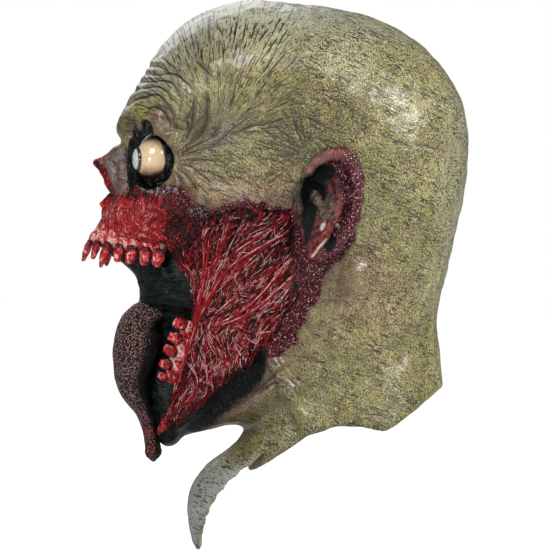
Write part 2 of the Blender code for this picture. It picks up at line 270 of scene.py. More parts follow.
def ball(centre, radii, turn=None):
    """An ellipsoid. turn is an (axis letter, degrees) pair."""
    centre, radii = np.array(centre, float), np.array(radii, float) * np.ones(3)
    rotation = np.array(Matrix.Rotation(math.radians(turn[1]), 3, turn[0])) if turn else np.eye(3)

    def distance(x, y, z):
        offset = (x - centre[0], y - centre[1], z - centre[2])
        local = [sum(rotation[j][i] * offset[j] for j in range(3)) for i in range(3)]
        near = np.sqrt(sum((local[i] / radii[i]) ** 2 for i in range(3)))
        steep = np.sqrt(sum((local[i] / radii[i] ** 2) ** 2 for i in range(3)))
        return near * (near - 1) / np.maximum(steep, 1e-6)

    size = radii.max() if turn else radii
    return distance, centre - size, centre + size


def rod(a, b, radius_a, radius_b=None):
    """A round rod from a to b, tapering from one radius to the other."""
    a, b = np.array(a, float), np.array(b, float)
    radius_b = radius_a if radius_b is None else radius_b
    run = b - a

    def distance(x, y, z):
        px, py, pz = x - a[0], y - a[1], z - a[2]
        t = np.clip((px * run[0] + py * run[1] + pz * run[2]) / max(run @ run, 1e-9), 0, 1)
        away = np.sqrt((px - t * run[0]) ** 2 + (py - t * run[1]) ** 2 + (pz - t * run[2]) ** 2)
        return away - (radius_a + t * (radius_b - radius_a))

    size = max(radius_a, radius_b)
    return distance, np.minimum(a, b) - size, np.maximum(a, b) + size


def chain(points, radii):
    """Rods through points, with a radius at each."""
    return [rod(a, b, ra, rb) for a, b, ra, rb in zip(points, points[1:], radii, radii[1:])]


def slab(outline, low_x, high_x):
    """A (Y, Z) outline extruded along X."""
    corners = np.array(outline, float)

    def distance(x, y, z):
        flat = inside_outline(y[0], z[0], outline)[None]
        return np.maximum(flat, np.maximum(low_x - x, x - high_x))

    low = np.array([low_x, *corners.min(0)])
    high = np.array([high_x, *corners.max(0)])
    return distance, low, high


def surface_net(clay):
    """The surface of clay as points and quads, one point in each cell that it crosses."""
    value, axes = clay.value, clay.axes
    inside = value < 0
    shape = tuple(n - 1 for n in value.shape)
    count = np.zeros(shape, np.uint8)
    corners = list(np.ndindex(2, 2, 2))
    for i, j, k in corners:
        count += inside[i : i + shape[0], j : j + shape[1], k : k + shape[2]]
    mixed = (count > 0) & (count < 8)
    cells = np.argwhere(mixed)
    index = np.full(shape, -1, np.int64)
    index[mixed] = np.arange(len(cells))

    total, hits = np.zeros((len(cells), 3)), np.zeros(len(cells))
    for a in corners:
        for axis in range(3):
            if a[axis]:
                continue
            b = tuple(1 if n == axis else a[n] for n in range(3))
            ia, ib = cells + a, cells + b
            va, vb = value[tuple(ia.T)], value[tuple(ib.T)]
            crossed = (va < 0) != (vb < 0)
            t = va[crossed] / (va[crossed] - vb[crossed])
            for n in range(3):
                pa, pb = axes[n][ia[crossed, n]], axes[n][ib[crossed, n]]
                total[crossed, n] += pa + t * (pb - pa)
            hits[crossed] += 1
    points = total / hits[:, None]

    quads = []
    for axis in range(3):
        u, v = (axis + 1) % 3, (axis + 2) % 3
        near = [slice(1, -1)] * 3
        near[axis] = slice(0, -1)
        far = list(near)
        far[axis] = slice(1, None)
        lower, upper = inside[tuple(near)], inside[tuple(far)]
        edge = np.argwhere(lower != upper)
        leaving = lower[tuple(edge.T)]
        edge[:, u] += 1
        edge[:, v] += 1
        ring = []
        for du, dv in ((-1, -1), (0, -1), (0, 0), (-1, 0)):
            cell = edge.copy()
            cell[:, u] += du
            cell[:, v] += dv
            ring.append(index[tuple(cell.T)])
        ring = np.stack(ring, 1)
        ring[~leaving] = ring[~leaving][:, ::-1]
        quads.append(ring)
    return points, np.concatenate(quads)


def mirror_half(points, quads):
    """Adds the right half to a left half whose middle points lie at x = 0."""
    middle = np.abs(points[:, 0]) < 1e-3
    points[middle, 0] = 0
    twin = np.arange(len(points))
    twin[~middle] = len(points) + np.arange(np.count_nonzero(~middle))
    flipped = points[~middle] * (-1, 1, 1)
    return np.vstack([points, flipped]), np.vstack([quads, twin[quads][:, ::-1]])


def vertex_normals(points, quads):
    """The unit normal at each point, averaged over the quads round it by area."""
    a, b, c, d = (points[quads[:, k]] for k in range(4))
    face = np.cross(c - a, d - b)
    normals = np.zeros_like(points)
    for k in range(4):
        for axis in range(3):
            normals[:, axis] += np.bincount(quads[:, k], face[:, axis], len(points))
    return normals / np.maximum(np.linalg.norm(normals, axis=1, keepdims=True), 1e-9)


# ---------------------------------------------------------------- making objects


def make_object(name, points, faces, material, slot, replaces=(), body="head", attributes=None):
    """A smooth shaded object of points in millimetres, riding on a body in place of some CAD nodes."""
    mesh = bpy.data.meshes.new(name)
    faces = faces.tolist() if isinstance(faces, np.ndarray) else faces
    mesh.from_pydata((np.asarray(points) * MM).tolist(), [], faces)
    mesh.shade_smooth()
    for key, values in (attributes or {}).items():
        layer = mesh.attributes.new(key, "FLOAT", "POINT")
        layer.data.foreach_set("value", np.asarray(values, np.float32))
    mesh.materials.append(material)
    obj = bpy.data.objects.new(name, mesh)
    bpy.context.scene.collection.objects.link(obj)
    if body:
        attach(obj, body)
    if replaces:
        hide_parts(*replaces)
    return obj


def ring_quads(rings, sides):
    """The quads between neighbouring rings of points, all with the same number of sides."""
    quads = []
    for ring in range(rings - 1):
        low, high = ring * sides, (ring + 1) * sides
        for i in range(sides):
            j = (i + 1) % sides
            quads.append((low + i, low + j, high + j, high + i))
    return np.array(quads)


def mirrored(points, quads, side):
    """A left piece as it is for side 1, or its mirror twin for side -1."""
    return points * (side, 1, 1), quads[:, ::side]


def tube(path, radii, sides=6):
    """Points and quads of a round tube along a 3-D path; its first and last rings should be small."""
    path = np.array(path, float)
    run = np.gradient(path, axis=0)
    run /= np.maximum(np.linalg.norm(run, axis=1, keepdims=True), 1e-9)
    side = np.cross(run, (0.31, 0.87, 0.38))
    side /= np.maximum(np.linalg.norm(side, axis=1, keepdims=True), 1e-9)
    up = np.cross(side, run)
    turns = 2 * np.pi * np.arange(sides) / sides
    ring = np.cos(turns)[None, :, None] * side[:, None] + np.sin(turns)[None, :, None] * up[:, None]
    points = (path[:, None] + ring * np.array(radii)[:, None, None]).reshape(-1, 3)
    return points, ring_quads(len(path), sides)


class Heap:
    """Collects many small shapes, each with its own attribute values, into one mesh."""

    def __init__(self):
        self.points, self.quads, self.values, self.count = [], [], [], 0

    def add(self, points, quads, value):
        self.points.append(points)
        self.quads.append(quads + self.count)
        self.values.append(np.broadcast_to(value, len(points)))
        self.count += len(points)

    def arrays(self):
        return np.vstack(self.points), np.vstack(self.quads), np.concatenate(self.values)


# ---------------------------------------------------------------- materials


class Paint:
    """One procedural material, built node by node. Every result is a socket that the next node can take."""

    def __init__(self, name):
        self.material = bpy.data.materials.new(name)
        self.material.use_nodes = True
        self.tree = self.material.node_tree
        self.shader = self.tree.nodes["Principled BSDF"]
        self.place = self.node("ShaderNodeTexCoord").outputs["Object"]

    def node(self, kind, **inputs):
        """A new node with its inputs fed by name, or by number as in _0."""
        made = self.tree.nodes.new(kind)
        for key, value in inputs.items():
            self.feed(made.inputs[int(key[1:]) if key[1:].isdigit() else key], value)
        return made

    def feed(self, socket, value):
        if isinstance(value, bpy.types.NodeSocket):
            self.tree.links.new(value, socket)
        elif isinstance(value, tuple) and len(value) == 3 and socket.type == "RGBA":
            socket.default_value = (*value, 1.0)
        else:
            socket.default_value = value

    def attribute(self, name):
        made = self.tree.nodes.new("ShaderNodeAttribute")
        made.attribute_name = name
        return made.outputs["Fac"]

    def math(self, operation, a, b=0.0):
        made = self.node("ShaderNodeMath", _0=a, _1=b)
        made.operation = operation
        return made.outputs[0]

    def stretched(self, stretch, turn=(0, 0, 0)):
        """The object's own place in axes turned by these degrees, drawn out this many times along each."""
        made = self.node("ShaderNodeMapping", Vector=self.place)
        made.vector_type = "TEXTURE"
        made.inputs["Rotation"].default_value = [math.radians(a) for a in turn]
        made.inputs["Scale"].default_value = stretch
        return made.outputs[0]

    def fan(self, angle, radius, lines, run_mm):
        """A place for noise with lumps that are narrow round a pole (lines to a radian) and long outwards."""
        made = self.node("ShaderNodeCombineXYZ", X=self.times(angle, lines), Y=self.times(radius, 1 / run_mm))
        return made.outputs[0]

    def noise(self, size_mm, detail=3.0, stretch=None, turn=(0, 0, 0), wander=0.0, place=None):
        """Soft noise from 0 to 1 whose lumps are about size_mm across, or longer along a stretched axis.

        Where a place is given, size_mm is in that place's own units.
        """
        scale = PER_METRE / size_mm
        if place is not None:
            scale = 1 / size_mm
        else:
            place = self.stretched(stretch, turn) if stretch else self.place
        made = self.node("ShaderNodeTexNoise", Vector=place, Scale=scale, Detail=detail)
        made.inputs["Distortion"].default_value = wander
        return made.outputs["Fac"]

    def cells(self, size_mm):
        """The distance to the nearest of many scattered places about size_mm apart."""
        made = self.node("ShaderNodeTexVoronoi", Vector=self.place, Scale=PER_METRE / size_mm)
        return made.outputs["Distance"]

    def remap(self, value, low, high, to_low=0.0, to_high=1.0):
        """The value eased from one range to another."""
        made = self.tree.nodes.new("ShaderNodeMapRange")
        made.interpolation_type = "SMOOTHSTEP"
        given = {"Value": value, "From Min": low, "From Max": high, "To Min": to_low, "To Max": to_high}
        for key, number in given.items():
            self.feed(made.inputs[key], number)
        return made.outputs[0]

    def mix(self, share, a, b):
        """Colour a where share is 0 and colour b where it is 1."""
        made = self.tree.nodes.new("ShaderNodeMix")
        made.data_type = "RGBA"
        self.feed(made.inputs[0], share)
        self.feed(made.inputs[6], a)
        self.feed(made.inputs[7], b)
        return made.outputs[2]

    def swing(self, size_mm, *rest, **how):
        """Noise from -0.5 to 0.5."""
        return self.math("SUBTRACT", self.noise(size_mm, *rest, **how), 0.5)

    def lack(self, value):
        """What the value lacks of 1."""
        return self.math("SUBTRACT", 1.0, value)

    def times(self, a, b):
        return self.math("MULTIPLY", a, b)

    def plus(self, a, b):
        return self.math("ADD", a, b)

    def bump(self, height, depth_mm, normal=None):
        made = self.node("ShaderNodeBump", Height=height, Strength=1.0, Distance=depth_mm * MM)
        if normal is not None:
            self.tree.links.new(normal, made.inputs["Normal"])
        return made.outputs[0]

    def done(self, **inputs):
        """Feeds the shader's inputs and gives the finished material."""
        for key, value in inputs.items():
            self.feed(self.shader.inputs[key.replace("_", " ")], value)
        return self.material


def grey(value):
    return (value, value, value)


# Colours, as linear red, green and blue.
CLOT_BLACK = (0.005, 0.001, 0.001)
PIT_BLACK = (0.010, 0.001, 0.002)
DEEP_RED = (0.085, 0.001, 0.004)
BRIGHT_RED = (0.44, 0.007, 0.011)
CORD_RED = (0.33, 0.004, 0.012)
GRIT_RED = (0.125, 0.005, 0.014)
# Pink of fat, also used as the painted highlight on the strands' crest lines.
PINK_FAT_AND_HIGHLIGHT = (0.80, 0.44, 0.40)
# Painted glint: the pale flecks on wet flesh and gums.
PAINTED_GLINT_PINK = (0.80, 0.52, 0.48)
OLIVE = (0.215, 0.200, 0.054)
KHAKI = (0.36, 0.345, 0.125)
MOSS = (0.205, 0.225, 0.036)
STRAW = (0.68, 0.66, 0.36)
TAN = (0.33, 0.20, 0.10)
DRAB = (0.17, 0.12, 0.060)
DARK_OLIVE = (0.15, 0.13, 0.045)
# Painted light: the grey that pales the top, forehead and back edge of the head.
PAINTED_LIGHT_GREY = (0.50, 0.53, 0.48)
SLATE = (0.22, 0.24, 0.215)
PALE_SLATE = (0.36, 0.38, 0.345)
SOOT = (0.030, 0.032, 0.012)
INK = (0.008, 0.009, 0.007)
RUST = (0.13, 0.040, 0.010)
BRUISE = (0.115, 0.080, 0.085)
EARTH = (0.115, 0.056, 0.022)


def gore(p, level, bright=BRIGHT_RED):
    """Raw flesh from black-red through bright red to pink as level runs from 0 to 1; the pink is also the
    painted highlight on the strands' crest lines.
    """
    colour = p.mix(p.remap(level, 0.08, 0.34), CLOT_BLACK, DEEP_RED)
    colour = p.mix(p.remap(level, 0.32, 0.58), colour, bright)
    return p.mix(p.remap(level, 0.70, 1.0), colour, PINK_FAT_AND_HIGHLIGHT)


def painted_glints_and_pits(p, colour, level):
    """Wet flesh with fine pale flecks of painted glint, more of them where its level is high, and black pits.
    """
    fleck = p.noise(1.1, 3, wander=0.4)
    amount = p.remap(level, 0.15, 0.60, 0.12, 0.50)
    colour = p.mix(p.times(p.remap(fleck, 0.60, 0.68), amount), colour, PAINTED_GLINT_PINK)
    return p.mix(p.times(p.remap(fleck, 0.41, 0.33), 0.80), colour, PIT_BLACK)


def crimson_grit(p):
    """Dark crimson with fine black pits and pale sparks of painted glint."""
    grit = p.noise(1.15, 3)
    colour = p.mix(p.remap(grit, 0.44, 0.55), PIT_BLACK, GRIT_RED)
    # Painted glints: pale sparks at the grit's peaks.
    return p.mix(p.remap(grit, 0.60, 0.67), colour, (0.62, 0.42, 0.42))


def strokes(p):
    """Thin dark hairlines: the creases' own lines, and finer fans and slanting scratches."""
    lines = None
    for k in range(LINE_SETS):
        away = p.math("ABSOLUTE", p.attribute(f"line_{k}"))
        line = p.times(p.remap(away, 0.62, 0.20), p.attribute(f"ink_{k}"))
        lines = line if lines is None else p.math("MAXIMUM", lines, line)
    for name, count, run, low in (("eye", 26, 24, 0.585), ("ear", 20, 20, 0.585), ("temple", 46, 17, 0.565)):
        place = p.fan(p.attribute(name + "_turn"), p.attribute(name + "_reach"), count, run)
        line = p.remap(p.noise(1.0, 2, place=place), low, low + 0.06)
        lines = p.plus(lines, p.times(line, p.attribute(name + "_fan")))
    patches = p.times(p.remap(p.noise(15, 2), 0.38, 0.54), p.lack(p.attribute("temple_fan")))
    for size, turn, low in ((1.05, -24, 0.60), (0.9, -42, 0.62), (0.95, -8, 0.63)):
        long = p.noise(size, 2, stretch=(4, 15, 1), turn=(turn, 0, 0), wander=0.2)
        lines = p.plus(lines, p.times(p.remap(long, low, low + 0.04), patches))
    return p.math("MINIMUM", lines, 1.0)


def skin_stipple(p):
    """The latex's fine grain from 0 to 1, drawn out into a fan of lines round the temple."""
    patch = p.times(p.swing(12, 3), 0.14)
    place = p.fan(p.attribute("temple_turn"), p.attribute("temple_reach"), 62, 4.5)
    dots = p.mix(p.times(p.attribute("temple_fan"), 0.6), p.noise(1.05, 4), p.noise(1.0, 3, place=place))
    return p.plus(dots, p.plus(p.times(p.attribute("dense"), -0.03), patch))


def olive_skin(p, stipple, hairlines):
    """Bare latex: mottled olive with tan, grey, purple and brown places, fine spots and hairlines, paled by
    painted light on the top and back and browned by painted shade under the jaw.
    """
    names = ("dense", "tan", "pale", "bib", "purple", "brown")
    dense, tan, pale, bib, purple, brown = (p.attribute(n) for n in names)
    skin = p.mix(p.remap(p.noise(38, 3), 0.35, 0.65), OLIVE, KHAKI)
    skin = p.mix(p.times(p.remap(p.noise(26, 2), 0.46, 0.62), 0.75), skin, MOSS)
    skin = p.mix(p.times(tan, p.remap(p.noise(9, 3), 0.3, 0.6, 0.45, 0.95)), skin, TAN)
    skin = p.mix(p.times(p.remap(p.noise(11, 4), 0.48, 0.66), 0.55), skin, DRAB)
    skin = p.mix(p.times(dense, 0.5), skin, DARK_OLIVE)
    # Painted light: the pale share lightens the top, the forehead and the back edge.
    skin = p.mix(p.times(pale, 0.8), skin, PAINTED_LIGHT_GREY)
    skin = p.mix(bib, skin, p.mix(p.noise(14, 3), SLATE, PALE_SLATE))

    spotted = p.lack(p.times(bib, 0.8))
    rust = p.plus(p.noise(1.3, 4), p.times(dense, 0.02))
    skin = p.mix(p.times(p.times(p.remap(stipple, 0.54, 0.62), 0.50), spotted), skin, STRAW)
    skin = p.mix(p.times(p.times(p.remap(stipple, 0.485, 0.41), 0.95), spotted), skin, SOOT)
    skin = p.mix(p.times(p.times(p.remap(rust, 0.57, 0.61), 0.65), spotted), skin, RUST)
    skin = p.mix(p.times(purple, 0.55), skin, BRUISE)
    # brown is the latex's own colour on the brows, by the torn edge and behind the ear, and painted shade on
    # the neck under the jaw.
    skin = p.mix(p.times(brown, p.remap(p.noise(7, 3), 0.25, 0.7, 0.60, 0.90)), skin, EARTH)
    return p.mix(p.times(hairlines, 0.95), skin, INK)


def raw_flesh(p):
    """The colour of torn flesh, gritty in places and with painted glints in others, and its fibres' and
    clots' height.
    """
    clot = p.swing(4.2, 4, stretch=(1, 1, 2.2), turn=(-28, 0, 0), wander=0.8)
    fibre = p.swing(1.4, 3, wander=0.6)
    level = p.plus(p.attribute("redness"), p.plus(p.times(clot, 1.5), p.times(fibre, 1.1)))
    raw = p.mix(p.attribute("gritty"), painted_glints_and_pits(p, gore(p, level), level), crimson_grit(p))
    # Painted glints: where foam is 1, pale squiggles over near-black stand in for wet reflections.
    squiggle = p.noise(2.6, 3, wander=1.2)
    painted_squiggles = p.mix(p.remap(squiggle, 0.50, 0.60), (0.030, 0.004, 0.006), (0.52, 0.40, 0.41))
    return p.mix(p.attribute("foam"), raw, painted_squiggles), p.plus(fibre, clot)


def skin_paint():
    """Olive latex outside, raw flesh where flesh is 1, black where dark is 1 (black paint, and painted shade
    and shadow under the brow and jaw), and plain latex inside.
    """
    p = Paint("rotten_skin")
    inner = p.attribute("inner")
    stipple = skin_stipple(p)
    hairlines = strokes(p)
    skin = olive_skin(p, stipple, hairlines)
    raw, raw_height = raw_flesh(p)

    ragged = p.plus(p.attribute("flesh"), p.times(p.swing(3.2, 4), 1.1))
    ragged = p.plus(ragged, p.times(p.math("SUBTRACT", stipple, 0.5), 1.6))
    torn = p.remap(ragged, 0.40, 0.60)
    rim = p.times(p.remap(ragged, 0.05, 0.45), p.remap(ragged, 0.66, 0.45))
    skin = p.mix(p.times(rim, 0.8), skin, (0.16, 0.050, 0.028))
    colour = p.mix(torn, skin, raw)

    # dark is black paint in the sockets, nostril and mouth, and painted shade under the brow and painted
    # shadow under the jaw.
    dark = p.remap(p.plus(p.attribute("dark"), p.times(p.swing(3.0, 4), 0.5)), 0.10, 0.95)
    colour = p.mix(p.remap(dark, 0.02, 0.42), colour, (0.050, 0.012, 0.010))
    dark = p.remap(dark, 0.30, 0.75)
    fold = p.remap(p.noise(1.3, 3, stretch=(1, 1, 5)), 0.56, 0.70)
    colour = p.mix(dark, colour, p.mix(fold, (0.004, 0.005, 0.005), (0.05, 0.055, 0.05)))
    latex = p.mix(p.remap(p.noise(20, 3), 0.4, 0.6), (0.62, 0.50, 0.32), (0.50, 0.38, 0.22))
    colour = p.mix(inner, colour, latex)

    relief = p.plus(p.times(stipple, 0.9), p.times(hairlines, -0.8))
    normal = p.bump(p.times(torn, raw_height), 2.0, p.bump(relief, 0.55))
    shine = p.mix(torn, p.remap(stipple, 0.3, 0.7, 0.26, 0.44), grey(0.10))
    shine = p.mix(dark, shine, grey(0.10))
    shine = p.mix(inner, shine, grey(0.6))
    glaze = p.mix(torn, grey(0.55), grey(0.26))
    glaze = p.mix(dark, glaze, grey(0.12))
    coat = p.times(p.times(p.lack(torn), p.lack(dark)), 0.45)
    return p.done(Base_Color=colour, Roughness=shine, Normal=normal, Specular_IOR_Level=glaze,
                  Coat_Weight=coat, Coat_Roughness=0.13, Coat_Normal=p.bump(relief, 0.25))


def flesh_paint(name, contrast):
    """Wet stringy flesh whose tone attribute picks each strand's colour, from black-red to pale pink."""
    p = Paint(name)
    tone = p.plus(p.attribute("tone"), p.times(p.swing(3.0, 3), contrast))
    speck = p.noise(1.1, 3, wander=0.5)
    colour = gore(p, tone, CORD_RED)
    colour = p.mix(p.times(p.remap(speck, 0.45, 0.35), 0.9), colour, PIT_BLACK)
    normal = p.bump(p.plus(speck, p.noise(3.0, 3)), 1.3)
    return p.done(Base_Color=colour, Roughness=0.10, Normal=normal, Specular_IOR_Level=0.24)


def gum_paint():
    """Pink bone near the teeth and blood above, with a black line in each socket."""
    p = Paint("bloody_gum")
    clot = p.swing(3.6, 4, stretch=(1, 1, 2.4), wander=0.6)
    grain = p.swing(1.3, 3)
    level = p.plus(p.attribute("redness"), p.plus(p.times(clot, 1.8), p.times(grain, 0.8)))
    # The gum's flesh carries painted glints as pale flecks.
    colour = p.mix(p.attribute("dark"), painted_glints_and_pits(p, gore(p, level), level), (0.008, 0.002, 0.002))
    normal = p.bump(p.plus(grain, clot), 1.6)
    return p.done(Base_Color=colour, Roughness=0.13, Normal=normal, Specular_IOR_Level=0.3)


def tooth_paint():
    """Teeth washed with blood: black-red at the root, bright red with pink wear towards the tip."""
    p = Paint("stained_tooth")
    root = p.attribute("root")
    stain = p.swing(3.0, 4, wander=0.5)
    streak = p.swing(0.9, 3, stretch=(1.0, 1.0, 4.0))
    level = p.plus(p.times(root, -0.55), p.plus(p.times(stain, 1.7), p.times(streak, 1.2)))
    colour = gore(p, p.plus(level, 0.64))
    normal = p.bump(p.plus(streak, stain), 0.9)
    return p.done(Base_Color=colour, Roughness=0.12, Normal=normal, Specular_IOR_Level=0.4)


def tongue_paint():
    """Dark brown purple grains over near-black, redder towards the tip."""
    p = Paint("granular_tongue")
    red = p.plus(p.attribute("red"), p.times(p.swing(9, 3), 0.5))
    top = p.mix(p.remap(red, 0.25, 0.9), (0.34, 0.185, 0.165), (0.42, 0.095, 0.090))
    grain = p.plus(p.cells(1.35), p.times(p.noise(0.9, 2), 0.5))
    colour = p.mix(p.remap(grain, 0.56, 0.76), top, (0.006, 0.003, 0.004))
    colour = p.mix(p.attribute("shade"), colour, (0.004, 0.003, 0.003))
    normal = p.bump(grain, -1.6)
    return p.done(Base_Color=colour, Roughness=0.25, Normal=normal, Specular_IOR_Level=0.35)


def black_paint():
    """Glossy black latex with a faint green sheen."""
    p = Paint("black_lining")
    sheen = p.noise(6, 4, stretch=(1.0, 1.0, 0.5), wander=0.5)
    colour = p.mix(p.remap(sheen, 0.4, 0.7), (0.002, 0.003, 0.003), (0.008, 0.015, 0.013))
    shine = p.remap(sheen, 0.3, 0.7, 0.12, 0.24)
    return p.done(Base_Color=colour, Roughness=shine, Normal=p.bump(sheen, 1.2), Specular_IOR_Level=0.14)


def lid_paint():
    """Black glossy lids with a painted grey-green sheen on their edges and painted white highlights."""
    p = Paint("glossy_lid")
    smear = p.noise(4, 4, wander=0.6)
    colour = p.mix(p.remap(smear, 0.50, 0.7), (0.004, 0.007, 0.008), (0.028, 0.036, 0.034))
    fold = p.times(p.attribute("fold"), p.remap(smear, 0.42, 0.56))
    # Painted sheen: grey-green on the folds' crests.
    colour = p.mix(fold, colour, (0.14, 0.18, 0.17))
    # Painted highlight: near-white where the glint attribute is 1.
    colour = p.mix(p.attribute("glint"), colour, (0.80, 0.82, 0.80))
    normal = p.bump(p.noise(2.2, 4), 0.6)
    return p.done(Base_Color=colour, Roughness=0.08, Normal=normal, Specular_IOR_Level=0.3)


def eyeball_paint():
    """Cream glass eye, browned towards its rim by painted shade, deepest at the bottom and towards the back,
    with a few veins.
    """
    p = Paint("cream_eyeball")
    facing = p.attribute("facing")
    smudge = p.times(p.swing(9, 3), 0.35)
    rim = p.remap(p.plus(facing, smudge), 0.85, 0.20)
    colour = p.mix(rim, (0.74, 0.57, 0.34), (0.26, 0.10, 0.03))
    colour = p.mix(p.remap(p.plus(facing, smudge), 0.50, 0.15), colour, (0.02, 0.008, 0.004))
    vein = p.remap(p.math("ABSOLUTE", p.swing(9, 5, wander=1.5)), 0.012, 0.0)
    colour = p.mix(p.times(vein, 0.35), colour, (0.35, 0.10, 0.04))
    return p.done(Base_Color=colour, Roughness=0.1, Coat_Weight=1.0, Coat_Roughness=0.02)


def lens_paint():
    """A clouded white iris with a dark ring round it and a faint pupil."""
    p = Paint("clouded_lens")
    across = p.attribute("across")
    ray = p.noise(1.3, 3)
    colour = p.mix(p.remap(ray, 0.4, 0.6), (0.70, 0.70, 0.66), (0.50, 0.50, 0.47))
    colour = p.mix(p.remap(across, 0.30, 0.18), colour, (0.30, 0.30, 0.29))
    colour = p.mix(p.remap(across, 0.74, 0.86), colour, (0.02, 0.018, 0.014))
    return p.done(Base_Color=colour, Roughness=0.06, Coat_Weight=1.0, Coat_Roughness=0.01)


def ear_paint():
    """Crimson stippled rim with painted glints, green-black painted shade in the hollow, red-brown fold, an
    orange-red glossy lobe, a painted highlight on the top of the rim and painted glints on the lobe.
    """
    p = Paint("rotten_ear")
    rim, hollow, lobe, skin, pink = (p.attribute(n) for n in ("rim", "hollow", "lobe", "skin", "pink"))
    blotch = p.noise(4.5, 4, wander=0.5)
    colour = p.mix(p.remap(blotch, 0.38, 0.65), (0.014, 0.002, 0.003), (0.13, 0.022, 0.018))
    colour = p.mix(rim, colour, crimson_grit(p))
    orange = p.mix(p.remap(blotch, 0.4, 0.65), (0.09, 0.007, 0.006), (0.25, 0.036, 0.022))
    colour = p.mix(lobe, colour, orange)
    olive = p.mix(p.remap(blotch, 0.4, 0.6), (0.030, 0.022, 0.014), (0.125, 0.105, 0.062))
    colour = p.mix(skin, colour, olive)
    # pink is partly a painted highlight along the top of the rim.
    colour = p.mix(p.times(pink, 0.7), colour, (0.22, 0.075, 0.070))
    # Painted shade: near-black in the ear's hollows.
    colour = p.mix(hollow, colour, (0.003, 0.006, 0.005))
    # Painted highlights: pale glints on the lobe.
    colour = p.mix(p.times(p.attribute("glint"), 0.8), colour, (0.60, 0.56, 0.52))
    speck = p.noise(1.1, 3)
    colour = p.mix(p.times(p.remap(speck, 0.44, 0.34), 0.7), colour, (0.01, 0.004, 0.004))
    normal = p.bump(p.plus(speck, blotch), 0.9)
    shine = p.remap(speck, 0.3, 0.7, 0.07, 0.2)
    glaze = p.mix(hollow, grey(0.35), grey(0.10))
    return p.done(Base_Color=colour, Roughness=shine, Normal=normal, Specular_IOR_Level=glaze)


def foam_paint():
    """Grey foam with open pores."""
    p = Paint("grey_foam")
    pores = p.cells(1.6)
    colour = p.mix(p.remap(pores, 0.15, 0.6), grey(0.05), (0.20, 0.20, 0.21))
    return p.done(Base_Color=colour, Roughness=0.95, Normal=p.bump(pores, 0.8))


# ---------------------------------------------------------------- the head's form

SLICE_TILT = math.radians(25)
CROWN_HEIGHT = 39.3
# Slices square to an axis that leans 25 degrees: height, front, back, widest place, half width, front power.
HEAD_SLICES = [
    (38, -68, -48, -58, 12, 0.5),
    (34, -83, -27, -55, 32, 0.5),
    (26, -100, -10, -54, 55, 0.5),
    (14, -118, 10, -50, 72, 0.5),
    (0, -138, 32, -40, 85, 0.5),
    (-18, -148, 54, -25, 92, 0.55),
    (-40, -156, 71, -12, 95, 0.62),
    (-62, -182, 80, -2, 95, 0.68),
    (-82, -194, 84, 2, 93, 0.7),
    (-102, -184, 84, 2, 91, 0.72),
    (-125, -176, 77, -3, 88, 0.8),
    (-150, -182, 64, -12, 82, 0.8),
    (-175, -195, 46, -28, 76, 0.8),
    (-200, -205, 26, -45, 71, 0.8),
    (-222, -206, 9, -60, 67, 0.8),
    (-231, -200, 3, -64, 66, 0.78),
    (-238, -167, 0, -75, 65, 0.62),
    (-255, -163, -6, -82, 66, 0.5),
    (-278, -168, -15, -90, 69, 0.5),
    (-300, -172, -22, -95, 71, 0.5),
]


def head_base(clay):
    """The smooth head and neck, before any feature."""
    x, y, z = clay.places()
    y2, z2 = np.broadcast_arrays(y[0], z[0])
    along = y2 * math.cos(SLICE_TILT) + z2 * math.sin(SLICE_TILT)
    height = -y2 * math.sin(SLICE_TILT) + z2 * math.cos(SLICE_TILT)
    table = np.array(HEAD_SLICES, float)
    rounding = np.sqrt(CROWN_HEIGHT - table[:, 0])
    at = np.sqrt(np.maximum(CROWN_HEIGHT - height, 0))
    rounding = np.concatenate([[0], rounding])
    first = [table[0, 1] / 2 + table[0, 2] / 2] * 3 + [1.0, 0.5]
    front, back, widest, half, power = (
        curve_through(rounding, np.concatenate([[first[k]], table[:, k + 1]]), at) for k in range(5)
    )
    shift = along - widest
    reach = np.maximum(np.where(shift < 0, widest - front, back - widest), 0.5)
    power = np.where(shift < 0, power, 0.5)
    t = np.abs(shift) / reach
    half = np.maximum(half, 0.5)
    wide = np.abs(x) / half[None]
    radius = np.sqrt(wide ** (1 / power[None]) + t[None] ** 2).astype(np.float32)
    slopes = np.gradient(radius, *clay.axes)
    steep = np.sqrt(sum(s * s for s in slopes))
    distance = (radius - 1) / np.maximum(steep, 0.004)
    above = height[None] - CROWN_HEIGHT
    distance = np.where(above > 0, np.maximum(distance, above), distance)
    clay.value[...] = np.clip(distance, -FAR, FAR)


# The open mouth from the side, through the whole head.
MOUTH_OUTLINE = [
    (-200, -147), (-152, -147), (-95, -155), (-87, -168), (-83, -186), (-77, -198), (-76, -210),
    (-86, -238), (-93, -268), (-100, -278), (-200, -278),
]


